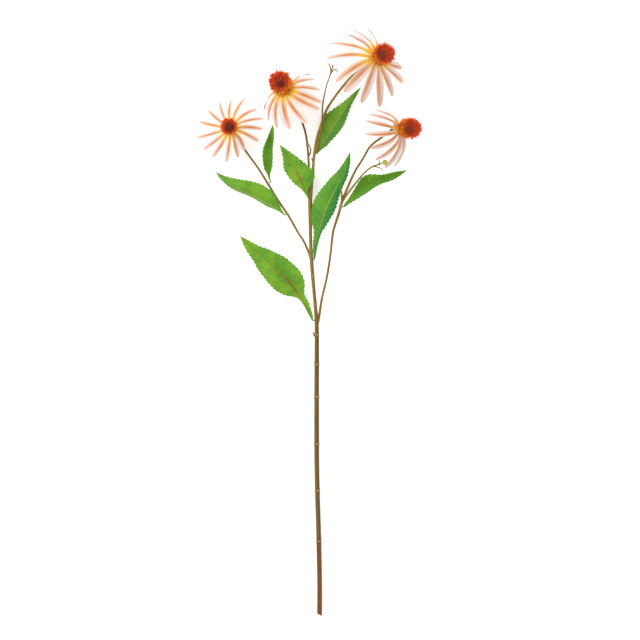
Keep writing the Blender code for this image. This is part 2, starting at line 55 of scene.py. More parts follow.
# Stem: the neck turns and straightens behind its head's cup, and a fade runs between two heights
STEM_SAMPLE = 2.0
STEM_SIDES = 20
TWIG_SIDES = 12
STEM_FLUTES = 5
FLUTE_DEPTH = 0.025
JOINT_SWELLING = 0.16
JOINT_REACH = 2.2
JOINT_LIP = 0.07
LIP_REACH = 0.7
JOINT_MARK_REACH = 0.75
CUT_SLOPE = 0.6
NECK_TURN = 9.0
NECK_STRAIGHT = 3.0
NECK_SWELLING = 1.15
NECK_END_SWELLING = 1.25
FOOT_BROWN = 1.2
FOOT_FADE = (-262.0, -282.0)
UPPER_OLIVE = 0.6
UPPER_FADE = (60.0, 90.0)
UPPER_LEFT_BROWN = 0.9

# Petals: the ring's radius is a share of the cone's, and the petals start at a share of the ring's
RING_SHARE = 0.5
PETAL_START = 0.87
PETAL_STAGGER = 0.6
PETAL_FOLD = 0.22
PETAL_ROOT = 0.3
PETAL_WIDEST = 0.64
PETAL_TAPER = 0.3605
PETAL_ARCH = 0.42
PETAL_FACING_UP = 0.9
PETAL_HIGHEST = 62.0
PETAL_THICKNESS = 0.42
PETAL_ROWS = 30
PETAL_COLUMNS = 12
FULL_REACH = 30
LEAST_WIDTH = 0.3
ROLL_SCATTER = 5
RIDGE_HEIGHT = 0.09
WAVE_HEIGHT = 0.35
NOTCH_DEPTH = 0.9

# Collar under the petals and green cup behind them, as (share of the ring's radius, height), then
# the cup's narrow end as (radius, height)
TURNED_SIDES = 40
COLLAR = [(0.7, 2.4), (0.86, 0.9), (0.93, -1.2), (0.88, -2.2)]
CALYX_DEPTH = 9.0
CUP = [(0.85, -2.5), (0.9, -3.6), (0.8, -5.4)]
CUP_END = [(4, -7.2), (2.6, -8.4), (2.2, -CALYX_DEPTH)]
TINY = 0.01

# Rows of bracts on the cup: share of the ring's radius, height, length, width and curl in radians
BRACT_ROWS = [(0.86, -3.1, 3.4, 2.9, 1), (0.86, -3.9, 4.4, 2.7, 1.5), (0.74, -5.2, 4.8, 2.5, 1.9)]
BRACT_COUNT = 14
BRACT_STEPS = 10
BRACT_COLUMNS = 6
BRACT_INSET = 0.8
BRACT_THICKNESS = 0.3

# Cone: florets in a spiral on a core, and rows of shorter florets round its foot
CONE_BASE = 0.62
CORE_SHARE = 0.64
CORE_INSET = 0.97
FLORET_SIDES = 5
FLORET_SHARES = np.array([0.0, 0.35, 0.7, 0.9, 1.0])
FLORET_WIDTHS = np.array([1.0, 1.0, 0.85, 0.55, 0.12])
FLORET_RADIUS = 0.62
FLORET_LOWEST = -0.86
FLORET_BEND = 0.16
FLORET_TILT = 0.1
LONG_FLORETS = 0.4
YOUNG_SHORTER = 0.1
YOUNG_THINNER = 0.25
SKIRT_ROWS = 5
SKIRT_SPACING = 1.9
SKIRT_START = 0.72
SKIRT_HEIGHT = 0.7
SKIRT_STEP = 1.3
SKIRT_LENGTH = 4.8
SKIRT_GROWTH = 0.8
SKIRT_BEND = 0.15
CORE_STEPS = 24

# Leaves
LEAF_THICKNESS = 0.5
MIDRIB_THICKNESS = 0.9
LEAF_ROWS = 150
LEAF_COLUMNS = 28
LEAF_STALK_LIFT = 2.5
LEAF_CLEARANCE = 0.4
TOOTH_SPACING = 5.2
TOOTH_DEPTH = 1.6
TOOTH_OFFSET = 0.37
VEIN_SPACING = 9.0
VEIN_SWEEP = 1.5
QUILT_DEPTH = 0.32
BOW_HEIGHT = 0.1
RIPPLE_HEIGHT = 0.9
RIPPLE_LENGTH = 7.5
RIPPLE_OFFSET = 2.4
GROOVE_DEPTH = 0.35

# Bud: rows of scales as (where they start and end, in radians from its tip, share of its radius)
BUD_CENTRE = (94, 198.4, 40.6)
BUD_RADIUS = 3.5
BUD_AXIS = (0.86, 0.28, 0.42)
BUD_SCALES = [(2.9, 0.9, 0.92), (2.6, 0.5, 0.96), (2.3, 0.15, 0.99)]
SCALES_A_ROW = 5
SCALE_ROWS = 12
SCALE_COLUMNS = 8
SCALE_THICKNESS = 0.25
BUD_CORE = 0.84
BUD_STEPS = 12
BUD_SIDES = 24

# Studio in metres, with the frame's centre in the plant's layout and the sensor in millimetres.
# Each light has its place, the point that it faces, its size and its power
FRAME_CENTRE = (13.1, 1.9, 0)
FRAME_WIDTH = 0.8
CAMERA_HEIGHT = 10.0
FOCUS_HEIGHT = 0.02
SENSOR_WIDTH = 36.0
FLOOR_REACH = 4.0
FLOOR_GLOW = 0.36
WORLD_GLOW = 0.85
LIGHTS = {
    "key": ((-1.3, 1.5, 2.4), (0, 0.15, 0), 1.4, 44),
    "fill": ((1.8, -0.8, 2), (0, 0.1, 0), 2, 12),
}

# Colours as linear red, green and blue; a pair runs from its first to its second colour
PETAL_EDGE = ((0.86, 0.7, 0.58), (0.88, 0.79, 0.77))
PETAL_BODY = ((0.78, 0.4, 0.17), (0.85, 0.6, 0.5))
PETAL_GOLD = ((0.96, 0.58, 0.008), (0.78, 0.26, 0.008))
PETAL_STRIPE = (0.66, 0.19, 0.028)
# Painted light: the paler half of a folded petal
PETAL_LIT_HALF = (0.78, 0.67, 0.66)
# Painted shade along the midline fold of a petal
PETAL_CREASE_SHADE = (0.42, 0.1, 0.014)
PETAL_VEIN = (0.55, 0.2, 0.1)
PETAL_RIM = (0.6, 0.36, 0.3)
# Underside colour, also used for painted shade on petals that point down the page
PETAL_UNDERSIDE_AND_SHADE = (0.5, 0.31, 0.22)
LEAF_GREEN = ((0.098, 0.27, 0.008), (0.195, 0.39, 0.012))
LEAF_RIB = ((0.26, 0.38, 0.05), (0.24, 0.065, 0.015))
# Painted shade on the leaf half that faces away from the light
LEAF_SHADED_HALF = (0.026, 0.23, 0.032)
# Painted shade in the hollows next to the side veins
LEAF_HOLLOW_SHADE = (0.04, 0.17, 0.008)
LEAF_VEIN = (0.33, 0.55, 0.07)
LEAF_MARK = (0.2, 0.055, 0.015)
LEAF_NET = (0.05, 0.19, 0.01)
LEAF_UNDER = (0.15, 0.27, 0.06)
STEM_BARK = ((0.25, 0.165, 0.017), (0.145, 0.052, 0.008))
# Painted shade for the stem from just below the fork down, olive-dark and red-brown
STEM_LOWER_SHADE = ((0.07, 0.036, 0.006), (0.15, 0.04, 0.01))
STEM_LIT = (0.38, 0.29, 0.036)
STEM_STREAK = (0.27, 0.145, 0.024)
STEM_JOINT = (0.42, 0.29, 0.09)
PITH = ((0.45, 0.36, 0.18), (0.6, 0.52, 0.32))
FLORET_RED = ((0.82, 0.085, 0.02), (0.92, 0.22, 0.016))
FLORET_GOLD = (0.92, 0.45, 0.012)
FLORET_DEEP_RED = (0.56, 0.03, 0.02)
FLORET_FOOT = (0.26, 0.024, 0.006)
FLORET_TIP = ((0.95, 0.28, 0.07), (0.66, 0.05, 0.015))
FLORET_EYE = ((0.085, 0.005, 0.006), (0.3, 0.035, 0.018))
CORE_GROUND = ((0.07, 0.008, 0.004), (0.2, 0.02, 0.006))
CORE_FOOT = (0.5, 0.17, 0.012)
CALYX_GREEN = ((0.07, 0.16, 0.022), (0.16, 0.28, 0.045))
CALYX_MIDDLE = (0.28, 0.38, 0.09)
BUD_GREEN = ((0.24, 0.27, 0.016), (0.44, 0.42, 0.03))
BUD_EDGE = (0.58, 0.5, 0.1)
FLOOR_WHITE = (0.97, 0.97, 0.965)
GLOW_WHITE = (1, 1, 1)
WORLD_WHITE = (0.97, 0.98, 1)

# One entry a head, angles in degrees. centre: middle of the petal ring. lean, towards: how far and
# which way the head leans. radius: of the cone. lift: height of the cone's centre over the ring.
# droop: how far the petal tips lie behind the ring. width: of a petal. florets: how many in the spiral.
# eye, eye_size, eye_depth: where the cone's dark eye faces, its half-angle and how dark it is.
# tone_and_shade, bias: how much painted shade darkens the petals that point down the page, and to
# which side their orange leans, with the other half painted paler as light falls on the fold.
# gold: share of a petal that is golden. shift: how far the stem's neck is moved aside. start: the
# direction of the ring's first petal. rolls: how far each petal turns about its length. tips: each
# petal's tip as seen from above, clockwise, from the ring's centre
HEADS = {
    "bloom_1": {
        "centre": (-98.5, 241.4, 31), "lean": 14, "towards": (-0.7, 0.7), "radius": 12,
        "lift": 12, "droop": 20, "width": 7.8, "florets": 380,
        "eye": (0.14, -0.24, 0.96), "eye_size": 48, "eye_depth": 0.8,
        "tone_and_shade": 0, "bias": 0, "gold": 0.4, "shift": (0, 0, 0), "start": (-43, -11.5),
        "rolls": [-26, -28, -30, 34, 28, 26, 24, 26, 26, 22, -8, -10, -8, -10, -16],
        "tips": [(-43, -11.5), (-40, 9), (-28, 23.5), (-14, 34.5), (0.5, 37), (18, 38.5),
            (33.5, 24.5), (41, 12), (40, -1), (35, -16), (17, -27.5), (9.5, -36.5),
            (-6, -42.5), (-23, -36), (-34.5, -26.5)],
    },
    "bloom_2": {
        "centre": (-30.3, 290, 34), "lean": 45, "towards": (-0.6, 0.8), "radius": 16.5,
        "lift": 15.5, "droop": 26, "width": 11.6, "florets": 540,
        "eye": (0.17, -0.27, 0.95), "eye_size": 22, "eye_depth": 0.85,
        "tone_and_shade": 0.05, "bias": -0.6, "gold": 0.42, "shift": (-3, -2, 0), "start": (19, 23),
        "rolls": [46, 44, 32, 18, 2, 0, -6, -20, -28, -36, -20, -10, 0, 10, 20],
        "tips": [(30, 19), (38, 12.5), (43.5, -1), (45.5, -16.5), (43, -25.5), (27, -43),
            (5.5, -50.5), (-10, -49), (-21, -39.5), (-25.5, -24), (-15, 4), (-15, 12),
            (-10, 17), (-3, 18), (3, 13)],
    },
    "bloom_3": {
        "centre": (84.6, 328.1, 36), "lean": 40, "towards": (0.85, 0.53), "radius": 15.6,
        "lift": 15.5, "droop": 24, "width": 11.2, "florets": 480,
        "eye": (-0.35, -0.15, 0.92), "eye_size": 30, "eye_depth": 0.28,
        "tone_and_shade": 0.4, "bias": 0.9, "gold": 0.5, "shift": (-4, 4, 0), "start": (-63.5, -0.5),
        "rolls": [-34, -40, -36, -42, -48, -48, -20, 10, 22, 26, 20, 8, 8, 4, -6],
        "tips": [(-63.5, -0.5), (-59, 18.5), (-40.5, 31), (-41, 40), (-12.5, 39), (9.5, 29),
            (14, 13), (17, 7), (31, -9.5), (33, -28.5), (19.5, -46), (3, -60),
            (-20, -56), (-42, -42.5), (-52, -30)],
    },
    "bloom_4": {
        "centre": (113, 240.2, 44), "lean": 58, "towards": (1, 0.03), "radius": 15.6,
        "lift": 15.5, "droop": 25, "width": 10.4, "florets": 480,
        "eye": (-0.25, -0.25, 0.93), "eye_size": 32, "eye_depth": 0.22,
        "tone_and_shade": 0.3, "bias": 0.2, "gold": 0.3, "shift": (0, -4.5, 0), "start": (-31, 23),
        "rolls": [-42, 0, 0, 0, 0, 0, 0, 14, 10, 10, 14, -52, -54, -46],
        "tips": [(-31, 23), (4, 3), (13, 7), (21, 6), (23, 1), (20, -6), (12, -8),
            (-9, -47.5), (-19.5, -48.5), (-31, -38.5), (-38, -24.5), (-43.5, -7),
            (-43.5, 9.5), (-38.5, 17.5)],
    },
}

# Each stem's route as (x, y, z, radius), and the heights along Y of its swollen joints
STEMS = {
    "main": {
        "route": [(12.5, -367, 3.4, 3.1), (12.5, -323.5, 4.2, 3.05), (11.5, -273.5, 5.2, 3.1),
            (10, -223.5, 6.2, 3), (9, -179.5, 7.2, 3.05), (8.8, -136, 8.2, 3.1),
            (8.8, -86, 9.4, 3), (9, -36, 10.8, 2.9), (8.7, -2, 12, 2.6),
            (7, 21.5, 12.6, 2.1), (4, 55.5, 13.6, 2.2), (2.5, 74, 14, 2.4),
            (1.5, 95.5, 14.6, 2.1), (1, 114, 15, 2.2), (1, 135.5, 15.6, 2.7),
            (0.8, 152, 16, 2.6), (2.5, 168, 16.4, 1.9), (3.9, 185, 16.8, 1.8),
            (5, 200, 17.2, 1.7), (6.5, 214, 17.4, 1.7), (9.5, 230.5, 17.2, 1.6),
            (13, 241.5, 17, 1.6), (20.5, 263, 16, 1.6), (30.5, 279.5, 15, 1.6),
            (47, 300.5, 14, 1.7), (60, 313, 14.6, 1.8)],
        "joints": [-275.2, -211.8, -153.4, -94.1, -53.5, -16.3, 21.75, 56.6, 89.1, 187.4],
        "head": "bloom_3",
    },
    "upper_left": {
        "route": [(0.8, 146, 15.8, 1.5), (-0.6, 158, 15.8, 1.5), (-1, 170, 15.4, 1.45),
            (-1.1, 196.5, 14.8, 1.4), (-2.5, 218, 14.2, 1.35), (-5, 235.5, 13.6, 1.35),
            (-9.5, 250, 13.6, 1.35), (-15.5, 266.5, 15, 1.4)],
        "joints": [220],
        "head": "bloom_2",
    },
    "left": {
        "route": [(2.4, 74, 14, 1.5), (-1, 86, 14, 1.5), (-7.5, 100.5, 14, 1.4),
            (-14.5, 111.5, 14, 1.35), (-26.5, 132.5, 13.8, 1.4), (-39, 151, 13, 1.35),
            (-51, 170.5, 12, 1.4), (-64.5, 192, 10.6, 1.3), (-80, 213.5, 9.2, 1.3),
            (-91, 231, 8.6, 1.4)],
        "joints": [135, 172.5],
        "head": "bloom_1",
    },
    "right": {
        "route": [(8.9, -8, 11.8, 1.5), (10.5, -1, 12.2, 1.6), (13, 13, 13, 1.6),
            (15.4, 28.5, 14, 1.5), (21.5, 55, 16, 1.5), (25.8, 81.5, 18, 1.5),
            (28.8, 108, 20, 1.5), (31.6, 120, 20.8, 1.55), (36.8, 136, 22, 1.7),
            (40.5, 149.5, 23.2, 1.6), (49, 171, 25, 1.5), (57, 188, 26.4, 1.45),
            (67, 204, 27.6, 1.45), (77, 220, 28.6, 1.5)],
        "joints": [43.8, 145],
        "head": "bloom_4",
    },
}

# Thin twigs and pointed bracts, each grown from a stem and ending free
TWIGS = [
    [(5.8, 208, 17.6, 1.2), (9, 216, 21, 1), (13.5, 235, 26, 0.95),
     (15.6, 252, 28.6, 0.95), (16.4, 270, 30.2, 1), (20.4, 291.5, 31.6, 0.9),
     (26.5, 312, 32.8, 0.9), (23.8, 322.5, 34, 0.7)],
    [(26, 309.5, 32.6, 0.8), (28.4, 316, 33.4, 0.8), (29, 320.5, 34, 1.3)],
    [(24.6, 306, 32.2, 0.8), (30, 314, 33.4, 0.8), (34, 314.4, 33.8, 0.7),
     (35.4, 310.5, 33.6, 0.6)],
    [(40.2, 147.5, 23, 1.3), (43.6, 154, 25, 1.25), (55.8, 170.5, 29.6, 1.15),
     (67, 184, 34.2, 1.1), (77.4, 192.6, 37.8, 1.05), (90.2, 197.2, 39.9, 0.95)],
    [(80.6, 193.8, 38.4, 0.8), (87.5, 197.8, 40.6, 0.7), (85.4, 202.6, 41.6, 0.5)],
    [(79.4, 193.3, 38.1, 0.75), (87, 192.2, 39, 0.7), (92, 188, 38.6, 0.5)],
    [(40, 146, 22.8, 1.2), (40.4, 156, 26.5, 1.3), (38.8, 168.5, 30, 0.5)],
    [(5, 198, 17.2, 1.2), (3.4, 202, 18.4, 0.9), (2.2, 204.5, 19.4, 0.5)],
    [(-1.6, 206, 14.6, 0.9), (1, 211, 15.2, 1), (1.2, 217, 15.4, 0.8),
     (-1.4, 222, 14.4, 0.6)],
    [(8.6, -20, 11.2, 1.6), (5.2, -16, 12.4, 1.1), (4, -13, 13.4, 0.5)],
]

# Each leaf: the stem it grows from, the height along Y where it grows, the direction in which it
# leaves the stem, its midrib's points, the widths of its left and right halves as seen from above,
# at even steps from the stem to the tip, how far each half folds up, in degrees at the stem and at
# the tip, and its look: how much painted shade darkens and blues its left and right halves, how
# brown its midrib is
LEAVES = {
    "leaf_fork": {
        "stem": "main", "at": 0, "out": (-1, 0.2, 0.7),
        "midrib": [(-9.5, 27, 17), (-23.5, 46.5, 19.5), (-39, 63, 20),
            (-58, 79, 17), (-87, 107, 9)],
        "left": [0.6, 1.2, 1.4, 3.5, 13.5, 19, 20, 18.5, 15.8, 11.5, 9.2, 5.6, 0.4],
        "right": [0.9, 3.6, 5.6, 6.8, 16.2, 19.6, 19.2, 18.2, 16.2, 12.5, 7.4, 4, 0.4],
        "folds": ((6, 6), (14, 14)), "look": (0, 0.1, 1),
    },
    "leaf_left_low": {
        "stem": "left", "at": 135, "out": (-1, -0.2, 0.7),
        "midrib": [(-37, 138.5, 17.5), (-52.4, 146.5, 20), (-75, 158.5, 20.5),
            (-97, 169.8, 18), (-117, 187, 13)],
        "left": [0.6, 1.3, 1.5, 2, 2, 2, 2, 2.2, 2.4, 2.8, 3.4, 3.2, 0.4],
        "right": [0.6, 2.2, 8.2, 14.2, 17.2, 18.5, 18, 15.8, 13.4, 10.4, 7, 3, 0.4],
        "folds": ((-78, -58), (10, 10)), "look": (0.25, 0.15, 0.15),
    },
    "leaf_left_high": {
        "stem": "left", "at": 172.5, "out": (0.8, 0.5, 0.5),
        "midrib": [(-51.6, 184, 14), (-52, 205, 17), (-49.3, 226.5, 18),
            (-46, 246, 15)],
        "left": [0.6, 0.9, 1.4, 4.6, 6, 6.5, 6.6, 6.4, 5.6, 4.4, 3.2, 1.6, 0.4],
        "right": [0.6, 0.9, 2.6, 4.4, 5.5, 5.8, 6, 5.4, 5, 4.8, 3.9, 2.6, 0.4],
        "folds": ((50, 50), (46, 46)), "look": (0.15, 0.4, 0.25),
    },
    "leaf_middle_left": {
        "stem": "main", "at": 151, "out": (-0.5, 0.5, 1),
        "midrib": [(-5, 163, 22), (-15, 184.5, 24.5), (-24, 203, 24),
            (-37, 220.5, 20)],
        "left": [0.6, 1, 2.8, 5, 8.5, 10.8, 12.2, 13.2, 12.4, 9.2, 6, 3, 0.4],
        "right": [0.6, 1.6, 4.5, 12.8, 19, 19.5, 16.5, 13.2, 9.8, 7, 4.5, 2.6, 0.4],
        "folds": ((8, 8), (-6, -6)), "look": (0, 0.15, 0.9),
    },
    "leaf_middle_right": {
        "stem": "main", "at": 75.5, "out": (0.7, 0.4, 0.8),
        "midrib": [(7, 92, 20), (12, 113, 23), (21.5, 142, 25.5),
            (33.6, 168, 25), (42.6, 184, 23), (50.6, 211.8, 18)],
        "left": [0.6, 2, 4, 6.5, 13, 17, 18.2, 16.2, 13.5, 11, 7.5, 3.8, 0.4],
        "right": [0.6, 2.2, 2.8, 3.5, 6.8, 9.2, 10.5, 9.2, 7.5, 5.6, 5, 3.8, 0.4],
        "folds": ((6, 6), (-28, -28)), "look": (0.45, 1, 0.35),
    },
    "leaf_upper": {
        "stem": "main", "at": 209, "out": (0.8, 0.1, -0.9),
        "midrib": [(14, 217, 11), (20.5, 228.5, 10.5), (34, 250, 10.5),
            (49.5, 273, 9.5), (64, 293, 8)],
        "left": [0.6, 4.2, 8.6, 11, 14, 16.4, 16.4, 12.8, 9.5, 6.5, 4.6, 2.8, 0.4],
        "right": [0.6, 1.6, 4.8, 7, 8.8, 9.5, 9.2, 7.8, 6.2, 4, 2.8, 1.8, 0.4],
        "folds": ((-8, -8), (-38, -38)), "look": (0.1, 0.6, 0.3),
    },
    "leaf_right": {
        "stem": "right", "at": 144, "out": (1, 0.1, -0.5),
        "midrib": [(48, 149.5, 20.5), (62, 164.5, 18.5), (80, 175, 17),
            (100.5, 181.2, 15), (121.5, 189, 11)],
        "left": [0.6, 2, 2.4, 4.2, 6.8, 10.2, 10.4, 7.6, 5.6, 4.8, 4, 2.2, 0.4],
        "right": [0.6, 2.6, 5, 7, 8.2, 8.8, 8.2, 7.2, 5.8, 5.2, 4.6, 2.9, 0.4],
        "folds": ((42, 42), (46, 46)), "look": (0.15, 0.4, 0.3),
    },
}

# The layout's origin in the frame, from the bud, whose centre both know
bud_low, bud_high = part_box("bud")
ORIGIN = (Vector(bud_low) + Vector(bud_high)) / 2 - Vector(BUD_CENTRE) * MM


def unit(vectors):
    """Vectors of length one."""
    return vectors / np.maximum(np.linalg.norm(vectors, axis=-1, keepdims=True), 1e-9)


def smoothstep(start, end, value):
    """Soft step from 0 to 1."""
    t = np.clip((value - start) / (end - start), 0.0, 1.0)
    return t * t * (3 - 2 * t)


def curve_point(before, start, end, after, t):
    """Point at a share t of the way from start to end, on a smooth curve through all four."""
    bend = 2 * before - 5 * start + 4 * end - after
    twist = 3 * start - before - 3 * end + after
    return (2 * start + (end - before) * t + bend * t ** 2 + twist * t ** 3) / 2


def round_steps(sides):
    """Angles at even steps round a circle."""
    return np.arange(sides) * TURN / sides


def flat_direction(angle):
    """Unit vector at an angle in the ground plane."""
    return np.array([math.cos(angle), math.sin(angle), 0.0])


def layers(values, rows, columns):
    """Three values as one vector for each point of a grid."""
    spread = [np.broadcast_to(value, (rows, columns)) for value in values]
    return np.stack(spread, axis=-1).reshape(-1, 3)


def ring_faces(rings, sides, rising=True):
    """Faces between closed rings of points; rising says which way they face."""
    faces = []
    for i in range(rings - 1):
        for j in range(sides):
            k = (j + 1) % sides
            a, b, c, d = i * sides + j, i * sides + k, (i + 1) * sides + k, (i + 1) * sides + j
            faces.append([a, b, c, d] if rising else [a, d, c, b])
    return faces


class Shape:
    """Points, faces and shading values of one piece, gathered part by part."""

    def __init__(self):
        self.points = []
        self.faces = []
        self.place = []
        self.extra = []
        self.slots = []
        self.count = 0

    def add(self, points, faces, place, extra, slot=0):
        points = np.asarray(points, float).reshape(-1, 3)
        self.faces += [[corner + self.count for corner in face] for face in faces]
        self.slots += [slot] * len(faces)
        self.points.append(points)
        self.place.append(np.asarray(place, float).reshape(-1, 3))
        extra = np.asarray(extra, float)
        if extra.ndim == 1:
            extra = layers((extra[:, None], 0.0, 0.0), len(extra), 1)
        self.extra.append(extra)
        self.count += len(points)

    def build(self, name, node, materials):
        mesh = bpy.data.meshes.new(name)
        mesh.from_pydata((np.concatenate(self.points) * MM).tolist(), [], self.faces)
        for title, values in (("place", self.place), ("extra", self.extra)):
            attribute = mesh.attributes.new(title, "FLOAT_VECTOR", "POINT")
            values = np.concatenate(values).astype(np.float32).ravel()
            attribute.data.foreach_set("vector", values)
        for material in materials:
            mesh.materials.append(material)
        mesh.polygons.foreach_set("material_index", self.slots)
        mesh.shade_smooth()
        mesh.set_sharp_from_angle(angle=math.radians(50))
        piece = bpy.data.objects.new(name, mesh)
        bpy.context.scene.collection.objects.link(piece)
        piece.location = ORIGIN
        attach(piece, "root")
        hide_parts(node)


def add_blade(shape, surface, thickness, along, across, number, second=0.0, third=0.0):
    """Closed blade round a grid of points, with a rim; thickness may vary over the grid."""
    rows, columns = surface.shape[:2]
    lengthwise = np.gradient(surface, axis=0)
    crosswise = np.gradient(surface, axis=1)
    normal = unit(np.cross(crosswise, lengthwise))
    half = np.broadcast_to(np.asarray(thickness, float) / 2, (rows, columns))[..., None]
    points = np.concatenate([(surface + normal * half).reshape(-1, 3),
                             (surface - normal * half).reshape(-1, 3)])
    far = rows * columns
    faces = []
    for i in range(rows - 1):
        for j in range(columns - 1):
            a = i * columns + j
            b, c, d = a + 1, a + columns + 1, a + columns
            faces.append([a, b, c, d])
            faces.append([far + a, far + d, far + c, far + b])
    rim = list(range(columns))
    rim += [i * columns + columns - 1 for i in range(1, rows)]
    rim += [(rows - 1) * columns + j for j in range(columns - 2, -1, -1)]
    rim += [i * columns for i in range(rows - 2, 0, -1)]
    for a, b in zip(rim, rim[1:] + rim[:1]):
        faces.append([b, a, far + a, far + b])
    place = layers((across, along, number), rows, columns)
    extra = [layers((under, second, third), rows, columns) for under in (0.0, 1.0)]
    shape.add(points, faces, np.concatenate([place, place]), np.concatenate(extra))


def add_tube(shape, centres, radii, sides, marks=None, cut=0.0, cap_slot=0, flute=0.0):
    """Closed round tube through the centres, with an oblique cut at its foot where cut says so."""
    centres = np.asarray(centres, float)
    tangents = unit(np.gradient(centres, axis=0))
    side = RIGHT if abs(tangents[0][0]) < 0.8 else UP
    turn = round_steps(sides)
    rings = []
    for centre, radius, tangent in zip(centres, radii, tangents):
        side = side - tangent * np.dot(side, tangent)
        side = side / np.linalg.norm(side)
        reach = radius * (1 + flute * np.cos(turn * STEM_FLUTES))
        rings.append(centre + np.outer(np.cos(turn) * reach, side)
                     + np.outer(np.sin(turn) * reach, np.cross(tangent, side)))
    points = np.array(rings)
    points[0, :, 1] -= (points[0, :, 0] - centres[0][0]) * cut
    count = len(centres)
    steps = np.linalg.norm(np.diff(centres, axis=0), axis=1)
    length = np.concatenate([[0.0], np.cumsum(steps)])
    place = layers((turn / TURN, length[:, None], 0.0), count, sides)
    marks = np.zeros(count) if marks is None else np.asarray(marks, float)
    shape.add(points, ring_faces(count, sides), place, np.repeat(marks, sides))
    ring = list(range(sides))
    shape.add(points[0], [ring[::-1]], place[:sides], np.repeat(marks[0], sides), cap_slot)
    shape.add(points[-1], [ring], place[-sides:], np.repeat(marks[-1], sides))


def smooth_route(points):
    """Smooth curve through the points, sampled every STEM_SAMPLE millimetres."""
    knots = [Vector(point) for point in points]
    knots = [2 * knots[0] - knots[1]] + knots + [2 * knots[-1] - knots[-2]]
    route = []
    for before, start, end, after in zip(knots, knots[1:], knots[2:], knots[3:]):
        count = max(1, round((end - start).length / STEM_SAMPLE))
        route += [curve_point(before, start, end, after, step / count) for step in range(count)]
    route.append(knots[-2])
    return route


def head_axis(head):
    """Direction in which a head faces."""
    lean = math.radians(head["lean"])
    flat = Vector((*head["towards"], 0)).normalized()
    return flat * math.sin(lean) + Vector(UP) * math.cos(lean)


def head_turn(head):
    """Rotation that takes +Z to a head's axis."""
    return head_axis(head).to_track_quat("Z", "Y")


def placed(head, points, lift=0.0):
    """Points modelled on +Z, moved to a head, lift millimetres over its petal ring."""
    turn = np.array(head_turn(head).to_matrix())
    centre = np.array(Vector(head["centre"]) + head_axis(head) * lift)
    return np.asarray(points, float) @ turn.T + centre


def stem_route(stem):
    """Sampled route of a stem, whose last points turn into the back of its head."""
    head = HEADS[stem["head"]]
    axis = head_axis(head)
    centre = Vector(head["centre"])
    radius = stem["route"][-1][3]
    turn = centre - axis * (CALYX_DEPTH + NECK_TURN) + Vector(head["shift"])
    straight = centre - axis * (CALYX_DEPTH + NECK_STRAIGHT)
    end = centre - axis * (CALYX_DEPTH + GAP)
    neck = [(*turn, radius), (*straight, radius * NECK_SWELLING)]
    return smooth_route(stem["route"] + neck) + [Vector((*end, radius * NECK_END_SWELLING))]


def girth(point, joints):
    """Radius of a stem at a point of its route, with the swelling of the nearest joint."""
    near = min(abs(point.y - joint) for joint in joints)
    return point.w * (1 + JOINT_SWELLING * math.exp(-(near / JOINT_REACH) ** 2))


class Shading:
    """One Principled material and short calls for the nodes that feed it."""

    def __init__(self, name, roughness, **sockets):
        self.material = bpy.data.materials.new(name)
        self.material.use_nodes = True
        self.tree = self.material.node_tree
        self.shader = self.tree.nodes["Principled BSDF"]
        self.shader.inputs["Roughness"].default_value = roughness
        for socket, value in sockets.items():
            self.feed(self.shader.inputs[socket.replace("_", " ")], value)

    def feed(self, socket, value):
        """Link a socket, or give it a number or a colour."""
        if isinstance(value, bpy.types.NodeSocket):
            self.tree.links.new(value, socket)
        elif socket.type == "RGBA":
            socket.default_value = (*value, 1)
        else:
            socket.default_value = value

    def node(self, kind, fed, outlet=0, **settings):
        """New node with its settings and its fed sockets; gives one of its outlets."""
        made = self.tree.nodes.new("ShaderNode" + kind)
        for key, value in settings.items():
            setattr(made, key, value)
        for key, value in fed.items():
            self.feed(made.inputs[key], value)
        return made.outputs[outlet]

    def split(self, vector):
        made = self.tree.nodes.new("ShaderNodeSeparateXYZ")
        self.feed(made.inputs[0], vector)
        return list(made.outputs)

    def attribute(self, name):
        return self.split(self.node("Attribute", {}, "Vector", attribute_name=name))

    def spot(self):
        return self.node("TexCoord", {}, "Object")

    def maths(self, operation, first, second=0, clamp=False):
        return self.node("Math", {0: first, 1: second}, operation=operation, use_clamp=clamp)

    def times(self, first, second):
        return self.maths("MULTIPLY", first, second)

    def plus(self, first, second):
        return self.maths("ADD", first, second)

    def minus(self, first, second):
        return self.maths("SUBTRACT", first, second)

    def size(self, value):
        return self.maths("ABSOLUTE", value)

    def step(self, value, start, end, low_value=0, high_value=1):
        fed = enumerate((value, start, end, low_value, high_value))
        return self.node("MapRange", dict(fed), interpolation_type="SMOOTHSTEP")

    def mix(self, factor, first, second):
        fed = {0: factor, 6: first, 7: second}
        return self.node("Mix", fed, 2, data_type="RGBA", clamp_factor=True)

    def noise(self, vector, scale, detail=3):
        fed = {"Vector": vector, "Scale": scale, "Detail": detail}
        return self.node("TexNoise", fed, "Fac")

    def stretched(self, values, factors, scale, detail):
        """Noise over three values, each stretched by its own factor."""
        fed = [self.times(value, factor) for value, factor in zip(values, factors)]
        return self.noise(self.node("CombineXYZ", dict(enumerate(fed))), scale, detail)

    def finish(self, colour, height=None, strength=0, distance=0, rough=None):
        """The material, with its colour, relief and roughness linked to the shader."""
        self.feed(self.shader.inputs["Base Color"], colour)
        if height is not None:
            fed = {"Height": height, "Strength": strength, "Distance": distance}
            self.feed(self.shader.inputs["Normal"], self.node("Bump", fed))
        if rough is not None:
            self.feed(self.shader.inputs["Roughness"], rough)
        return self.material


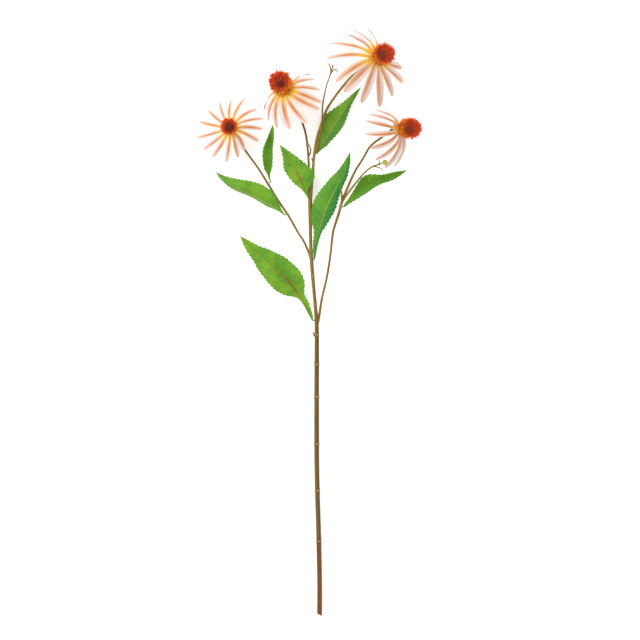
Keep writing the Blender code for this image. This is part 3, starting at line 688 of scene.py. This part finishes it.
def petal_material(name, gold_end):
    """Golden root, orange midrib and pale pink edges with fine veins; one half often painted paler as
    light falls on the fold, painted shade along the midline fold and on petals that point down the page,
    and a duller underside.
    """
    s = Shading(name, 0.6, Sheen_Weight=0.05, Specular_IOR_Level=0.3)
    place = s.attribute("place")
    across, along = place[:2]
    under, bias, tone_and_shade = s.attribute("extra")
    away = s.size(across)
    streaks = s.stretched(place, (2.4, 0.6, 9), 2.2, 4)
    veins = s.stretched(place, (11, 0.9, 5), 1.6, 2)
    shift = s.minus(streaks, 0.5)
    leaning = s.size(s.minus(across, s.times(bias, 0.34)))
    spread = s.plus(leaning, s.times(shift, 0.6))
    edge = s.mix(s.step(along, 0.2, 0.8), *PETAL_EDGE)
    body = s.mix(s.times(s.step(along, 0.45, 1), 0.8), *PETAL_BODY)
    filled = s.mix(s.step(spread, 0.36, 0.8, 1, 0), edge, body)
    band = s.step(spread, 0.06, 0.36, 1, 0)
    stripe = s.maths("MULTIPLY", band, s.step(along, 0.45, 1, 1, 0.3), True)
    warm = s.mix(stripe, filled, PETAL_STRIPE)
    # Painted light: the half away from the leaning orange is made paler, as light falls on the folded
    # petal
    lean_side = s.times(s.maths("SIGN", across), bias)
    painted_light_half = s.times(s.step(lean_side, -0.8, -0.1, 0.85, 0), s.step(away, 0.05, 0.3))
    half_lit = s.mix(painted_light_half, warm, PETAL_LIT_HALF)
    # Painted shade: a dark midline where the petal folds along its length
    crease_shade = s.times(s.step(away, 0.03, 0.15, 0.8, 0), s.step(along, 0.6, 1, 1, 0.1))
    crease_shaded = s.mix(crease_shade, half_lit, PETAL_CREASE_SHADE)
    uneven = s.plus(s.times(shift, 0.25), s.times(tone_and_shade, 0.45))
    reach = s.plus(s.minus(along, s.times(band, 0.1)), uneven)
    root = s.step(reach, gold_end - 0.28, gold_end + 0.04, 1, 0)
    yellow = s.mix(s.step(away, 0, 0.55, 0.55, 0), *PETAL_GOLD)
    veined = s.mix(s.step(veins, 0.4, 0.66, 0, 0.22), crease_shaded, PETAL_VEIN)
    gold = s.mix(s.times(root, 0.95), veined, yellow)
    rimmed = s.mix(s.times(s.step(away, 0.9, 1), 0.2), gold, PETAL_RIM)
    # Duller on the underside, and painted shade on petals that point down the page
    underside_and_shade = s.times(s.maths("ADD", s.times(under, 0.55), tone_and_shade, True), 0.8)
    relief = s.plus(s.times(veins, 0.7), streaks)
    return s.finish(s.mix(underside_and_shade, rimmed, PETAL_UNDERSIDE_AND_SHADE), relief, 0.45, 0.0007)


def leaf_material():
    """Bright green blade with side veins and cells, brown or pale midrib and a duller underside, with
    painted shade on one half and in the hollows next to the side veins.
    """
    s = Shading("leaf", 0.42, Specular_IOR_Level=0.25)
    across, along, dark = s.attribute("place")
    under, brown, share = s.attribute("extra")
    away = s.size(across)
    spot = s.spot()
    fine = s.noise(spot, 900)
    green = s.mix(s.step(s.noise(spot, 60, 4), 0.32, 0.68), *LEAF_GREEN)
    # Painted shade: one half of the leaf darker and bluer, as it faces away from the light
    shaded = s.mix(dark, green, LEAF_SHADED_HALF)
    phase = s.minus(s.maths("DIVIDE", along, VEIN_SPACING), s.times(away, VEIN_SWEEP))
    wave = s.size(s.minus(s.maths("FRACT", phase), 0.5))
    vein = s.step(wave, 0, 0.06, 1, 0)
    # Painted shade in the quilted hollows next to the side veins
    next_to_vein_shade = s.times(s.step(wave, 0.03, 0.16, 1, 0), s.step(away, 0.3, 1, 0.35, 0))
    hollow_shaded = s.mix(next_to_vein_shade, shaded, LEAF_HOLLOW_SHADE)
    veined = s.mix(s.times(vein, s.step(away, 0.7, 1, 0.6, 0)), hollow_shaded, LEAF_VEIN)
    chance = s.noise(s.node("CombineXYZ", {0: phase, 1: dark}), 1.3, 1)
    marks = s.times(s.step(chance, 0.54, 0.6), s.step(away, 0.1, 0.4, 1, 0))
    marked = s.mix(s.times(s.times(vein, marks), brown), veined, LEAF_MARK)
    cells = {"Vector": spot, "Scale": 620.0}
    net = s.node("TexVoronoi", cells, "Distance", feature="DISTANCE_TO_EDGE")
    netted = s.mix(s.step(net, 0, 0.12, 0.28, 0), marked, LEAF_NET)
    tan = s.mix(s.times(s.step(share, 0.35, 0.75, 1, 0), brown), *LEAF_RIB)
    rib_width = s.step(share, 0, 1, 0.11, 0.03)
    rib = s.step(s.maths("DIVIDE", away, rib_width), 0.55, 1.2, 1, 0)
    ribbed = s.mix(s.times(rib, s.step(share, 0.6, 0.95, 0.95, 0.3)), netted, tan)
    colour = s.mix(s.times(under, 0.5), ribbed, LEAF_UNDER)
    relief = s.plus(s.times(s.step(net, 0, 0.2), 0.6), fine)
    return s.finish(colour, relief, 0.35, 0.0005, s.step(fine, 0.3, 0.7, 0.45, 0.62))


def stem_material():
    """Olive on one side and red-brown on the other, streaked lengthwise, with pale joint rings, painted
    light on the side that faces left and painted shade from just below the fork down.
    """
    s = Shading("stem", 0.55, Specular_IOR_Level=0.3)
    brown = s.attribute("place")[2]
    joint = s.attribute("extra")[0]
    layout = s.split(s.spot())
    streaks = s.stretched(layout, (9, 1, 9), 110, 4)
    patches = s.stretched(layout, (2, 1, 1), 45, 3)
    facing = s.split(s.node("NewGeometry", {}, "Normal"))[0]
    side = s.plus(facing, s.times(s.minus(patches, 0.5), 1.8))
    bark = s.mix(s.step(s.plus(side, brown), -0.35, 0.45), *STEM_BARK)
    lit = s.mix(s.step(side, -1.15, -0.55, 0.7, 0), bark, STEM_LIT)
    lined = s.mix(s.step(streaks, 0.35, 0.7, 0, 0.4), lit, STEM_STREAK)
    # Painted shade: the stem darker from just below the fork down, redder where it is brown
    lower = s.mix(s.step(layout[1], -0.03, 0.04, 0.5, 0), lined, s.mix(brown, *STEM_LOWER_SHADE))
    colour = s.mix(s.times(joint, 0.85), lower, STEM_JOINT)
    return s.finish(colour, streaks, 0.45, 0.0005, s.step(streaks, 0.3, 0.7, 0.45, 0.65))


def pith_material():
    """Pale cut end of the stem."""
    s = Shading("pith", 0.8)
    grain = s.noise(s.spot(), 1400)
    return s.finish(s.mix(s.step(grain, 0.35, 0.65), *PITH), grain, 0.4, 0.0003)


def floret_material():
    """Stiff florets, red at the top of the cone and golden at its foot, dark in the eye."""
    s = Shading("floret", 0.6, Specular_IOR_Level=0.25)
    foot, along, number = s.attribute("place")
    eye = s.attribute("extra")[0]
    orange = s.mix(s.step(foot, 0.1, 0.55), *FLORET_RED)
    golden = s.mix(s.step(foot, 0.68, 1), orange, FLORET_GOLD)
    varied = s.mix(s.step(number, 0, 1, 0, 0.3), golden, FLORET_DEEP_RED)
    deep = s.mix(s.step(along, 0.1, 0.7, 0.9, 0), varied, FLORET_FOOT)
    tip = s.mix(s.step(number, 0.6, 0.8), *FLORET_TIP)
    tipped = s.mix(s.step(along, 0.7, 1, 0, 0.75), deep, tip)
    dark = s.mix(s.step(along, 0.6, 1, 0, 0.9), *FLORET_EYE)
    return s.finish(s.mix(eye, tipped, dark))


def core_material():
    """Dark red-brown ground between the florets."""
    s = Shading("cone_core", 0.7)
    foot = s.attribute("place")[0]
    grain = s.noise(s.spot(), 700)
    ground = s.mix(grain, *CORE_GROUND)
    return s.finish(s.mix(s.step(foot, 0.55, 0.95), ground, CORE_FOOT), grain, 0.5, 0.0008)


def calyx_material():
    """Green cup and bracts, paler along their middle."""
    s = Shading("calyx", 0.6)
    away = s.size(s.attribute("place")[0])
    grain = s.noise(s.spot(), 500)
    green = s.mix(grain, *CALYX_GREEN)
    return s.finish(s.mix(s.step(away, 0, 0.35, 0.5, 0), green, CALYX_MIDDLE), grain, 0.4, 0.0004)


def bud_material():
    """Yellow-green scales, lighter at their edges."""
    s = Shading("bud", 0.45)
    away = s.size(s.attribute("place")[0])
    grain = s.noise(s.spot(), 600)
    green = s.mix(grain, *BUD_GREEN)
    return s.finish(s.mix(s.step(away, 0.5, 1, 0, 0.6), green, BUD_EDGE), grain, 0.3, 0.0003)


def petal_width(u):
    """Share of a petal's full width at a share u of its length."""
    rise = np.sin(math.pi / 2 * np.minimum(1.0, u / PETAL_WIDEST)) ** 1.3
    fall = np.sqrt(1 - (np.maximum(0.0, u - PETAL_WIDEST) / PETAL_TAPER) ** 2.6)
    return (PETAL_ROOT + (1 - PETAL_ROOT) * rise) * fall


def ring_radius(head):
    """Radius of a head's petal ring."""
    return head["radius"] * RING_SHARE


def petal_curve(head, index, draw):
    """Root, handle, tip and facing of one petal of a head."""
    axis = head_axis(head)
    centre = Vector(head["centre"])
    turn = head_turn(head)
    first = turn.inverted() @ Vector((*head["start"], 0.0))
    angle = math.atan2(first.y, first.x) - index * TURN / len(head["tips"])
    x, y = head["tips"][index]
    drop = (-head["droop"] - axis.x * x - axis.y * y) / axis.z
    tip = centre + Vector((x, y, drop))
    tip.z = min(max(tip.z, SURFACE_CLEARANCE), PETAL_HIGHEST)
    radial = turn @ Vector(flat_direction(angle))
    stagger = PETAL_STAGGER if index % 2 else -PETAL_STAGGER
    root = centre + radial * ring_radius(head) * PETAL_START + axis * stagger
    reach = (tip - root).length
    arch = PETAL_ARCH * min(1.0, math.hypot(x, y) / FULL_REACH)
    handle = root + radial * arch * reach + axis * draw.uniform(0.0, 0.06) * reach
    return root, handle, tip, axis + radial + Vector((0, 0, PETAL_FACING_UP))


def petal_surface(curve, width, roll, draw):
    """Grid of points over one petal: channelled, with two ridges and a waved edge."""
    root, handle, tip, reference = [np.array(point) for point in curve]
    u = 1 - (1 - np.linspace(0, 1, PETAL_ROWS + 1)) ** 1.25
    v = np.sin(np.linspace(-1, 1, PETAL_COLUMNS + 1) * math.pi / 2)[None, :, None]
    t = u[:, None]
    centre = root * (1 - t) ** 2 + handle * 2 * t * (1 - t) + tip * t ** 2
    lengthwise = unit((handle - root) * (1 - t) + (tip - handle) * t)
    flat = unit(np.cross(lengthwise, reference))
    upright = np.cross(flat, lengthwise)
    angle = roll * smoothstep(0.0, 0.4, t)
    side = flat * np.cos(angle) + upright * np.sin(angle)
    face = upright * np.cos(angle) - flat * np.sin(angle)
    half = (width / 2 * petal_width(u))[:, None, None]
    body = smoothstep(0.05, 0.3, t)[:, None] * smoothstep(1.0, 0.8, t)[:, None]
    ridges = RIDGE_HEIGHT * half * np.cos(3 * math.pi * v) * (1 - np.abs(v)) * body
    phase = draw.uniform(0, TURN)
    waves = WAVE_HEIGHT * np.abs(v) ** 3 * np.sin(phase + 11 * t[:, None] + 2 * np.sign(v)) * body
    notch = NOTCH_DEPTH * np.exp(-(v / 0.3) ** 2) * smoothstep(0.88, 1.0, t)[:, None]
    lift = PETAL_FOLD * half * np.abs(v) ** 1.25 + ridges + waves
    points = centre[:, None, :] + side[:, None, :] * half * v + face[:, None, :] * lift
    return points - lengthwise[:, None, :] * notch, t, v[:, :, 0]


def build_petals(name, head, material):
    """Ring of petals and the low collar that they grow from."""
    shape = Shape()
    draw = random.Random(name)
    extra = random.Random(name + "_waves")
    for index, (x, y) in enumerate(head["tips"]):
        curve = petal_curve(head, index, draw)
        fullness = min(1.0, LEAST_WIDTH + math.hypot(x, y) / FULL_REACH)
        width = head["width"] * draw.uniform(0.88, 1.08) * fullness
        roll = math.radians(head["rolls"][index] + extra.uniform(-ROLL_SCATTER, ROLL_SCATTER))
        surface, along, across = petal_surface(curve, width, roll, extra)
        thickness = PETAL_THICKNESS * (1 - 0.6 * np.abs(across) ** 3) * (1 - 0.4 * along)
        lower = max(0.0, -y / math.hypot(x, y))
        bias = max(-1.0, min(1.0, extra.uniform(-0.6, 0.6) + head["bias"] * lower))
        # Painted shade on petals that point down the page, with a little random tone
        tone_and_shade = extra.uniform(0.0, 0.12) + head["tone_and_shade"] * lower
        add_blade(shape, surface, thickness, along, across, extra.random(), bias, tone_and_shade)
    ring = ring_radius(head)
    top = head["lift"] - head["radius"] * CONE_BASE - GAP
    profile = [(TINY, top), (ring * 0.62, top)] + [(ring * share, height) for share, height in COLLAR]
    profile.append((TINY, COLLAR[-1][1]))
    add_turned(shape, head, profile, (0.02, 0.16, 0.5))
    shape.build(name + "_rays", name + "_petals", [material])


def add_turned(shape, head, profile, look, slot=0, lift=0.0):
    """Closed turned body of (radius, height) rings, listed from its top to its underside."""
    turn = round_steps(TURNED_SIDES)
    rings = [np.stack([radius * np.cos(turn), radius * np.sin(turn), np.full(len(turn), height)], axis=1)
             for radius, height in profile]
    points = placed(head, np.concatenate(rings), lift)
    last = len(points) - TURNED_SIDES
    faces = ring_faces(len(profile), TURNED_SIDES, False)
    faces.append(list(range(TURNED_SIDES)))
    faces.append([last + j for j in range(TURNED_SIDES)][::-1])
    shape.add(points, faces, np.tile(look, (len(points), 1)), np.zeros(len(points)), slot)


def add_floret(shape, head, base, direction, bend, length, radius, place, eye):
    """Stiff floret that leaves base along direction, bends a little and ends in a short point."""
    rings = len(FLORET_SHARES)
    centres = (base + np.outer(FLORET_SHARES, direction) * length
               + np.outer(FLORET_SHARES ** 2, bend) * length)
    helper = UP if abs(direction[2]) < 0.9 else RIGHT
    first = unit(np.cross(direction, helper))
    second = np.cross(direction, first)
    turn = round_steps(FLORET_SIDES)
    circle = np.outer(np.cos(turn), first) + np.outer(np.sin(turn), second)
    points = centres[:, None, :] + (FLORET_WIDTHS * radius)[:, None, None] * circle
    faces = ring_faces(rings, FLORET_SIDES)
    faces.append([(rings - 1) * FLORET_SIDES + j for j in range(FLORET_SIDES)])
    faces.append(list(range(FLORET_SIDES))[::-1])
    foot, number = place
    spread = layers((foot, FLORET_SHARES[:, None], number), rings, FLORET_SIDES)
    longest = np.linalg.norm(points, axis=2).max()
    points = points * min(1.0, head["radius"] / longest)
    points = placed(head, points.reshape(-1, 3), head["lift"])
    shape.add(points, faces, spread, np.full(len(points), eye))


def add_spiral(shape, head, core, draw):
    """Florets in a spiral over the core, shorter and darker in the eye."""
    turn = np.array(head_turn(head).to_matrix())
    eye = unit(np.array(head["eye"]))
    size = head["eye_size"]
    for index in range(head["florets"]):
        height = 1 - (1 - FLORET_LOWEST) * (index + 0.5) / head["florets"]
        ring = math.sqrt(max(0.0, 1 - height ** 2))
        angle = index * GOLDEN_ANGLE
        local = np.array([ring * math.cos(angle), ring * math.sin(angle), height])
        facing = float(turn @ local @ eye)
        away = math.degrees(math.acos(max(-1.0, min(1.0, facing))))
        young = 1 - float(smoothstep(0.5 * size, 1.3 * size, away))
        dark = 1 - float(smoothstep(0.55 * size, 1.15 * size, away + draw.uniform(-5, 5)))
        foot = float(smoothstep(0.75, FLORET_LOWEST, height)) + draw.uniform(-0.06, 0.06)
        long = draw.random() < LONG_FLORETS
        reach = draw.uniform(0.94, 1.0) if long else draw.uniform(0.78, 0.87)
        length = head["radius"] * (reach - YOUNG_SHORTER * young) - core * CORE_INSET
        tilt = np.array([draw.uniform(-FLORET_TILT, FLORET_TILT) for _ in range(3)])
        bend = (UP - local * height) * FLORET_BEND
        thick = FLORET_RADIUS * (1.0 - YOUNG_THINNER * young) * draw.uniform(0.85, 1.1)
        add_floret(shape, head, local * core * CORE_INSET, unit(local + tilt), bend, length, thick,
                   (foot, draw.random()), dark * head["eye_depth"])


def add_skirt(shape, head, draw):
    """Rows of shorter florets round the foot of the cone."""
    ring = ring_radius(head)
    count = round(TURN * ring / SKIRT_SPACING)
    for row in range(SKIRT_ROWS):
        height = SKIRT_HEIGHT + row * SKIRT_STEP - head["lift"]
        for index in range(count):
            angle = (index + 0.5 * row) * TURN / count + draw.uniform(-0.08, 0.08)
            out = flat_direction(angle)
            base = out * ring * SKIRT_START + UP * height
            direction = unit(out + UP * draw.uniform(0.1, 0.4))
            length = (SKIRT_LENGTH + SKIRT_GROWTH * row) * draw.uniform(0.85, 1.15)
            thick = FLORET_RADIUS * draw.uniform(0.75, 1.0)
            place = (draw.uniform(0.45, 0.78), draw.random())
            add_floret(shape, head, base, direction, UP * SKIRT_BEND, length, thick, place, 0.0)


def build_cone(name, head, material, ground):
    """Ball of stiff florets on a dark core, in a spiral from the top down to the petals."""
    shape = Shape()
    draw = random.Random(name + "_florets")
    core = head["radius"] * CORE_SHARE
    add_spiral(shape, head, core, draw)
    add_skirt(shape, head, draw)
    lowest = math.acos(FLORET_LOWEST - 0.06)
    bottom = 1.2 - head["lift"]
    profile = []
    for step in range(CORE_STEPS + 1):
        polar = lowest * step / CORE_STEPS
        profile.append((max(TINY, core * math.sin(polar)), core * math.cos(polar)))
    profile += [(core * 0.42, bottom), (TINY, bottom)]
    add_turned(shape, head, profile, (0.4, 0.5, 0.5), 1, head["lift"])
    shape.build(name + "_florets", name + "_cone", [material, ground])


def bract_surface(base, out, length, width, curl):
    """Grid of a pointed bract that leaves base along out and curls down."""
    u = np.linspace(0, 1, BRACT_STEPS + 1)[:, None]
    v = np.linspace(-1, 1, BRACT_COLUMNS + 1)[None, :, None]
    angle = u * curl
    steps = np.diff(u, axis=0) * length * np.concatenate([np.cos(angle[1:]), np.sin(angle[1:])], axis=1)
    reach = np.cumsum(np.concatenate([[[0.0, 0.0]], steps]), axis=0)
    centre = base + reach[:, :1] * out - reach[:, 1:] * UP
    side = unit(np.cross(UP, out))
    half = (width / 2 * (1 - u ** 1.6) ** 0.8 + 0.05)[:, None]
    lift = 0.25 * half * np.abs(v)
    return centre[:, None, :] + side * half * v + UP * lift, u, v[:, :, 0]


def build_calyx(name, head, material):
    """Green cup with three rows of pointed bracts, the outer ones turned back."""
    shape = Shape()
    draw = random.Random(name + "_bracts")
    ring = ring_radius(head)
    profile = [(TINY, CUP[0][1])] + [(ring * share, height) for share, height in CUP] + CUP_END
    profile.append((TINY, -CALYX_DEPTH))
    add_turned(shape, head, profile, (1.0, 0.5, 0.5))
    for row, (share, height, length, width, curl) in enumerate(BRACT_ROWS):
        count = BRACT_COUNT - row
        for index in range(count):
            angle = (index + row * 0.5) * TURN / count + draw.uniform(-0.08, 0.08)
            out = flat_direction(angle)
            base = out * (ring * share - BRACT_INSET) + UP * height
            bract_length = length * draw.uniform(0.85, 1.1)
            bract_curl = curl * draw.uniform(0.8, 1.2)
            surface, along, across = bract_surface(base, out, bract_length, width, bract_curl)
            shaped = placed(head, surface.reshape(-1, 3)).reshape(surface.shape)
            add_blade(shape, shaped, BRACT_THICKNESS, along, across, draw.random())
    shape.build(name + "_cup", name + "_calyx", [material])


def eased(values, shares):
    """Values at shares of the way along a list, on a smooth curve through its entries."""
    values = np.asarray(values, float)
    place = shares * (len(values) - 1)
    index = np.minimum(place.astype(int), len(values) - 2)
    before = values[np.maximum(index - 1, 0)]
    after = values[np.minimum(index + 2, len(values) - 1)]
    return curve_point(before, values[index], values[index + 1], after, place - index)


def leaf_midrib(leaf, routes):
    """Points along a leaf's midrib, from the stem to its tip, and the direction at each."""
    origin = min(routes[leaf["stem"]], key=lambda point: abs(point.y - leaf["at"]))
    out = Vector(leaf["out"]).normalized()
    radius = girth(origin, STEMS[leaf["stem"]]["joints"])
    start = origin.to_3d() + out * (radius + GAP + LEAF_CLEARANCE)
    knots = [start, start + out * LEAF_STALK_LIFT] + [Vector(point) for point in leaf["midrib"]]
    route = smooth_route([knot.to_4d() for knot in knots])
    midrib = np.array([point.to_3d() for point in route])
    rank = np.linspace(0, 1, LEAF_ROWS + 1) * (len(midrib) - 1)
    centre = np.stack([np.interp(rank, np.arange(len(midrib)), line) for line in midrib.T], axis=1)
    soft = np.ones(7) / 7
    padded = np.pad(np.gradient(centre, axis=0), ((3, 3), (0, 0)), mode="edge")
    return centre, unit(np.stack([np.convolve(line, soft, "valid") for line in padded.T], axis=1))


def build_leaf(name, leaf, routes, material):
    """Leaf with forward-pointing teeth, quilted between its side veins, on a winged stalk."""
    centre, lengthwise = leaf_midrib(leaf, routes)
    side = unit(np.cross(lengthwise, UP))
    length = np.concatenate([[0.0], np.cumsum(np.linalg.norm(np.diff(centre, axis=0), axis=1))])
    u = np.linspace(0, 1, LEAF_ROWS + 1)
    v = np.linspace(-1, 1, LEAF_COLUMNS + 1)
    surface = np.zeros((LEAF_ROWS + 1, LEAF_COLUMNS + 1, 3))
    dark = np.zeros((LEAF_ROWS + 1, LEAF_COLUMNS + 1))
    phase = random.Random(name).uniform(0, 6)
    brown = leaf["look"][2]
    for j, across in enumerate(v):
        on_right = int(across > 0)
        away = abs(across)
        first, last = leaf["folds"][on_right]
        fold = np.radians(first + (last - first) * u) * np.minimum(1.0, 0.25 + 3 * u)
        half = eased(leaf["right"] if on_right else leaf["left"], u)
        true_half = half / np.cos(fold)
        swell = np.minimum(1.0, true_half / 12.0) * smoothstep(2.2, 5.0, true_half)
        saw = (length / TOOTH_SPACING + TOOTH_OFFSET * on_right) % 1.0
        tooth = TOOTH_DEPTH * (saw ** 1.4 - 0.45) * smoothstep(0.12, 0.45, swell)
        half = half + tooth * np.cos(fold) * smoothstep(0.6, 1.0, away)
        reach = half * away
        veins = np.cos(TURN * (length / VEIN_SPACING - VEIN_SWEEP * away - 0.5))
        body = swell * smoothstep(0.0, 0.15, away) * smoothstep(1.0, 0.75, away)
        quilt = -QUILT_DEPTH * veins * body
        bow = BOW_HEIGHT * half * (away - across ** 2) * 4 * np.where(np.abs(fold) < 0.5, 1, -0.4)
        wave = np.sin(phase + length / RIPPLE_LENGTH + RIPPLE_OFFSET * on_right)
        ripple = RIPPLE_HEIGHT * across ** 2 * swell * wave
        groove = -GROOVE_DEPTH * math.exp(-(across / 0.06) ** 2) * smoothstep(0.0, 0.2, swell)
        lift = quilt + bow + ripple + groove
        rise = reach * np.tan(fold) + lift * np.cos(fold)
        spread = (reach - (quilt + bow + ripple) * np.sin(fold)) * np.sign(across)
        surface[:, j] = centre + side * spread[:, None] + UP * rise[:, None]
        # Painted shade on each half, as strong as the leaf's look gives
        dark[:, j] = leaf["look"][on_right] * smoothstep(0.0, 0.08, away)
    shape = Shape()
    thickness = LEAF_THICKNESS + MIDRIB_THICKNESS * np.exp(-(v / 0.05) ** 2) * (1 - 0.8 * u[:, None])
    thickness = thickness * (1 - 0.5 * np.abs(v) ** 6)
    add_blade(shape, surface, thickness, length[:, None], v[None, :], dark, brown, u[:, None])
    shape.build(name + "_blade", name, [material])


def build_stems(routes, material, pith):
    """Main stem, side stems, twigs and bracts, each a closed round tube."""
    for name, stem in STEMS.items():
        route = routes[name]
        fine = []
        for a, b in zip(route, route[1:]):
            fine += [a, a.lerp(b, 1 / 3), a.lerp(b, 2 / 3)]
        fine.append(route[-1])
        radii = []
        marks = []
        for point in fine:
            near = min(abs(point.y - joint) for joint in stem["joints"])
            lip = JOINT_LIP * math.exp(-(near / LIP_REACH) ** 2)
            radii.append(girth(point, stem["joints"]) + point.w * lip)
            marks.append(math.exp(-(near / JOINT_MARK_REACH) ** 4))
        shape = Shape()
        centres = [point[:3] for point in fine]
        cut = CUT_SLOPE if name == "main" else 0.0
        add_tube(shape, centres, radii, STEM_SIDES, marks, cut, 1, FLUTE_DEPTH)
        along_y = shape.points[0][:, 1]
        brown = smoothstep(*FOOT_FADE, along_y) * FOOT_BROWN
        if name == "main":
            brown = brown - smoothstep(*UPPER_FADE, along_y) * UPPER_OLIVE
        if name == "upper_left":
            brown = brown + UPPER_LEFT_BROWN
        shape.place[0][:, 2] = brown
        shape.build("stem_" + name, "stem", [material, pith])
    shape = Shape()
    for points in TWIGS:
        route = smooth_route(points)
        add_tube(shape, [point[:3] for point in route], [point.w for point in route], TWIG_SIDES)
    shape.build("stem_twigs", "stem", [material])


def build_bud(material):
    """Round bud wrapped in overlapping scales."""
    shape = Shape()
    draw = random.Random("bud")
    centre = np.array(BUD_CENTRE)
    axis = unit(np.array(BUD_AXIS))
    first = unit(np.cross(axis, UP))
    second = np.cross(axis, first)
    u = np.linspace(0, 1, SCALE_ROWS + 1)[:, None]
    v = np.linspace(-1, 1, SCALE_COLUMNS + 1)[None, :]
    wide = 0.75 * np.sin(math.pi * np.clip(0.12 + 0.88 * u, 0, 1)) ** 0.6 + 0.02
    for row, (start, end, size) in enumerate(BUD_SCALES):
        polar = start + (end - start) * u
        radius = BUD_RADIUS * (size - 0.04 * row + 0.05 * u)
        ring = radius * np.sin(polar)
        height = radius * np.cos(polar) * np.ones_like(v)
        for index in range(SCALES_A_ROW):
            turn = (index + row * 0.5) * TURN / SCALES_A_ROW + draw.uniform(-0.1, 0.1)
            angle = turn + v * wide
            surface = (centre + (ring * np.cos(angle))[..., None] * first
                       + (ring * np.sin(angle))[..., None] * second + height[..., None] * axis)
            add_blade(shape, surface, SCALE_THICKNESS, u, v, draw.random())
    core = BUD_RADIUS * BUD_CORE
    turn = round_steps(BUD_SIDES)
    rings = []
    for step in range(BUD_STEPS + 1):
        polar = math.pi * step / BUD_STEPS
        ring = max(TINY, core * math.sin(polar))
        rings.append(centre + axis * core * math.cos(polar)
                     + np.outer(np.cos(turn) * ring, first) + np.outer(np.sin(turn) * ring, second))
    points = np.concatenate(rings)
    look = np.tile([0.3, 0.5, 0.5], (len(points), 1))
    shape.add(points, ring_faces(len(rings), BUD_SIDES, False), look, np.zeros(len(points)))
    shape.build("bud_scales", "bud", [material])


def build_floor():
    """Pale surface that the stem lies on."""
    mesh = bpy.data.meshes.new("floor")
    corners = [(x * FLOOR_REACH, y * FLOOR_REACH, 0) for x, y in ((-1, -1), (1, -1), (1, 1), (-1, 1))]
    mesh.from_pydata(corners, [], [(0, 1, 2, 3)])
    floor = bpy.data.objects.new("floor", mesh)
    bpy.context.scene.collection.objects.link(floor)
    look = Shading("floor", 0.9, Base_Color=FLOOR_WHITE, Emission_Color=GLOW_WHITE,
                   Emission_Strength=FLOOR_GLOW)
    mesh.materials.append(look.material)


def area_light(name, place, target, size, power):
    """Square soft light that faces a point."""
    light = bpy.data.lights.new(name, "AREA")
    light.size = size
    light.energy = power
    lamp = bpy.data.objects.new(name, light)
    lamp.location = place
    lamp.rotation_euler = (Vector(target) - Vector(place)).to_track_quat("-Z", "Y").to_euler()
    bpy.context.scene.collection.objects.link(lamp)


def build_studio():
    """Camera straight above, soft lights and an even pale surround."""
    scene = bpy.context.scene
    middle = ORIGIN + Vector(FRAME_CENTRE) * MM
    camera = bpy.data.cameras.new("camera")
    camera.sensor_width = SENSOR_WIDTH
    camera.lens = SENSOR_WIDTH * (CAMERA_HEIGHT - FOCUS_HEIGHT) / FRAME_WIDTH
    camera.clip_end = 50.0
    holder = bpy.data.objects.new("camera", camera)
    holder.location = (middle.x, middle.y, CAMERA_HEIGHT)
    scene.collection.objects.link(holder)
    scene.camera = holder
    for name, light in LIGHTS.items():
        area_light(name, *light)
    world = bpy.data.worlds.new("studio")
    world.use_nodes = True
    surround = world.node_tree.nodes["Background"].inputs
    surround["Color"].default_value = (*WORLD_WHITE, 1.0)
    surround["Strength"].default_value = WORLD_GLOW
    scene.world = world
    scene.view_settings.view_transform = "Standard"


routes = {name: stem_route(stem) for name, stem in STEMS.items()}
leaf_look = leaf_material()
calyx_look = calyx_material()
floret_look = floret_material()
core_look = core_material()
for name, head in HEADS.items():
    build_petals(name, head, petal_material(name + "_petal", head["gold"]))
    build_cone(name, head, floret_look, core_look)
    build_calyx(name, head, calyx_look)
for name, leaf in LEAVES.items():
    build_leaf(name, leaf, routes, leaf_look)
build_stems(routes, stem_material(), pith_material())
build_bud(bud_material())
build_floor()
build_studio()
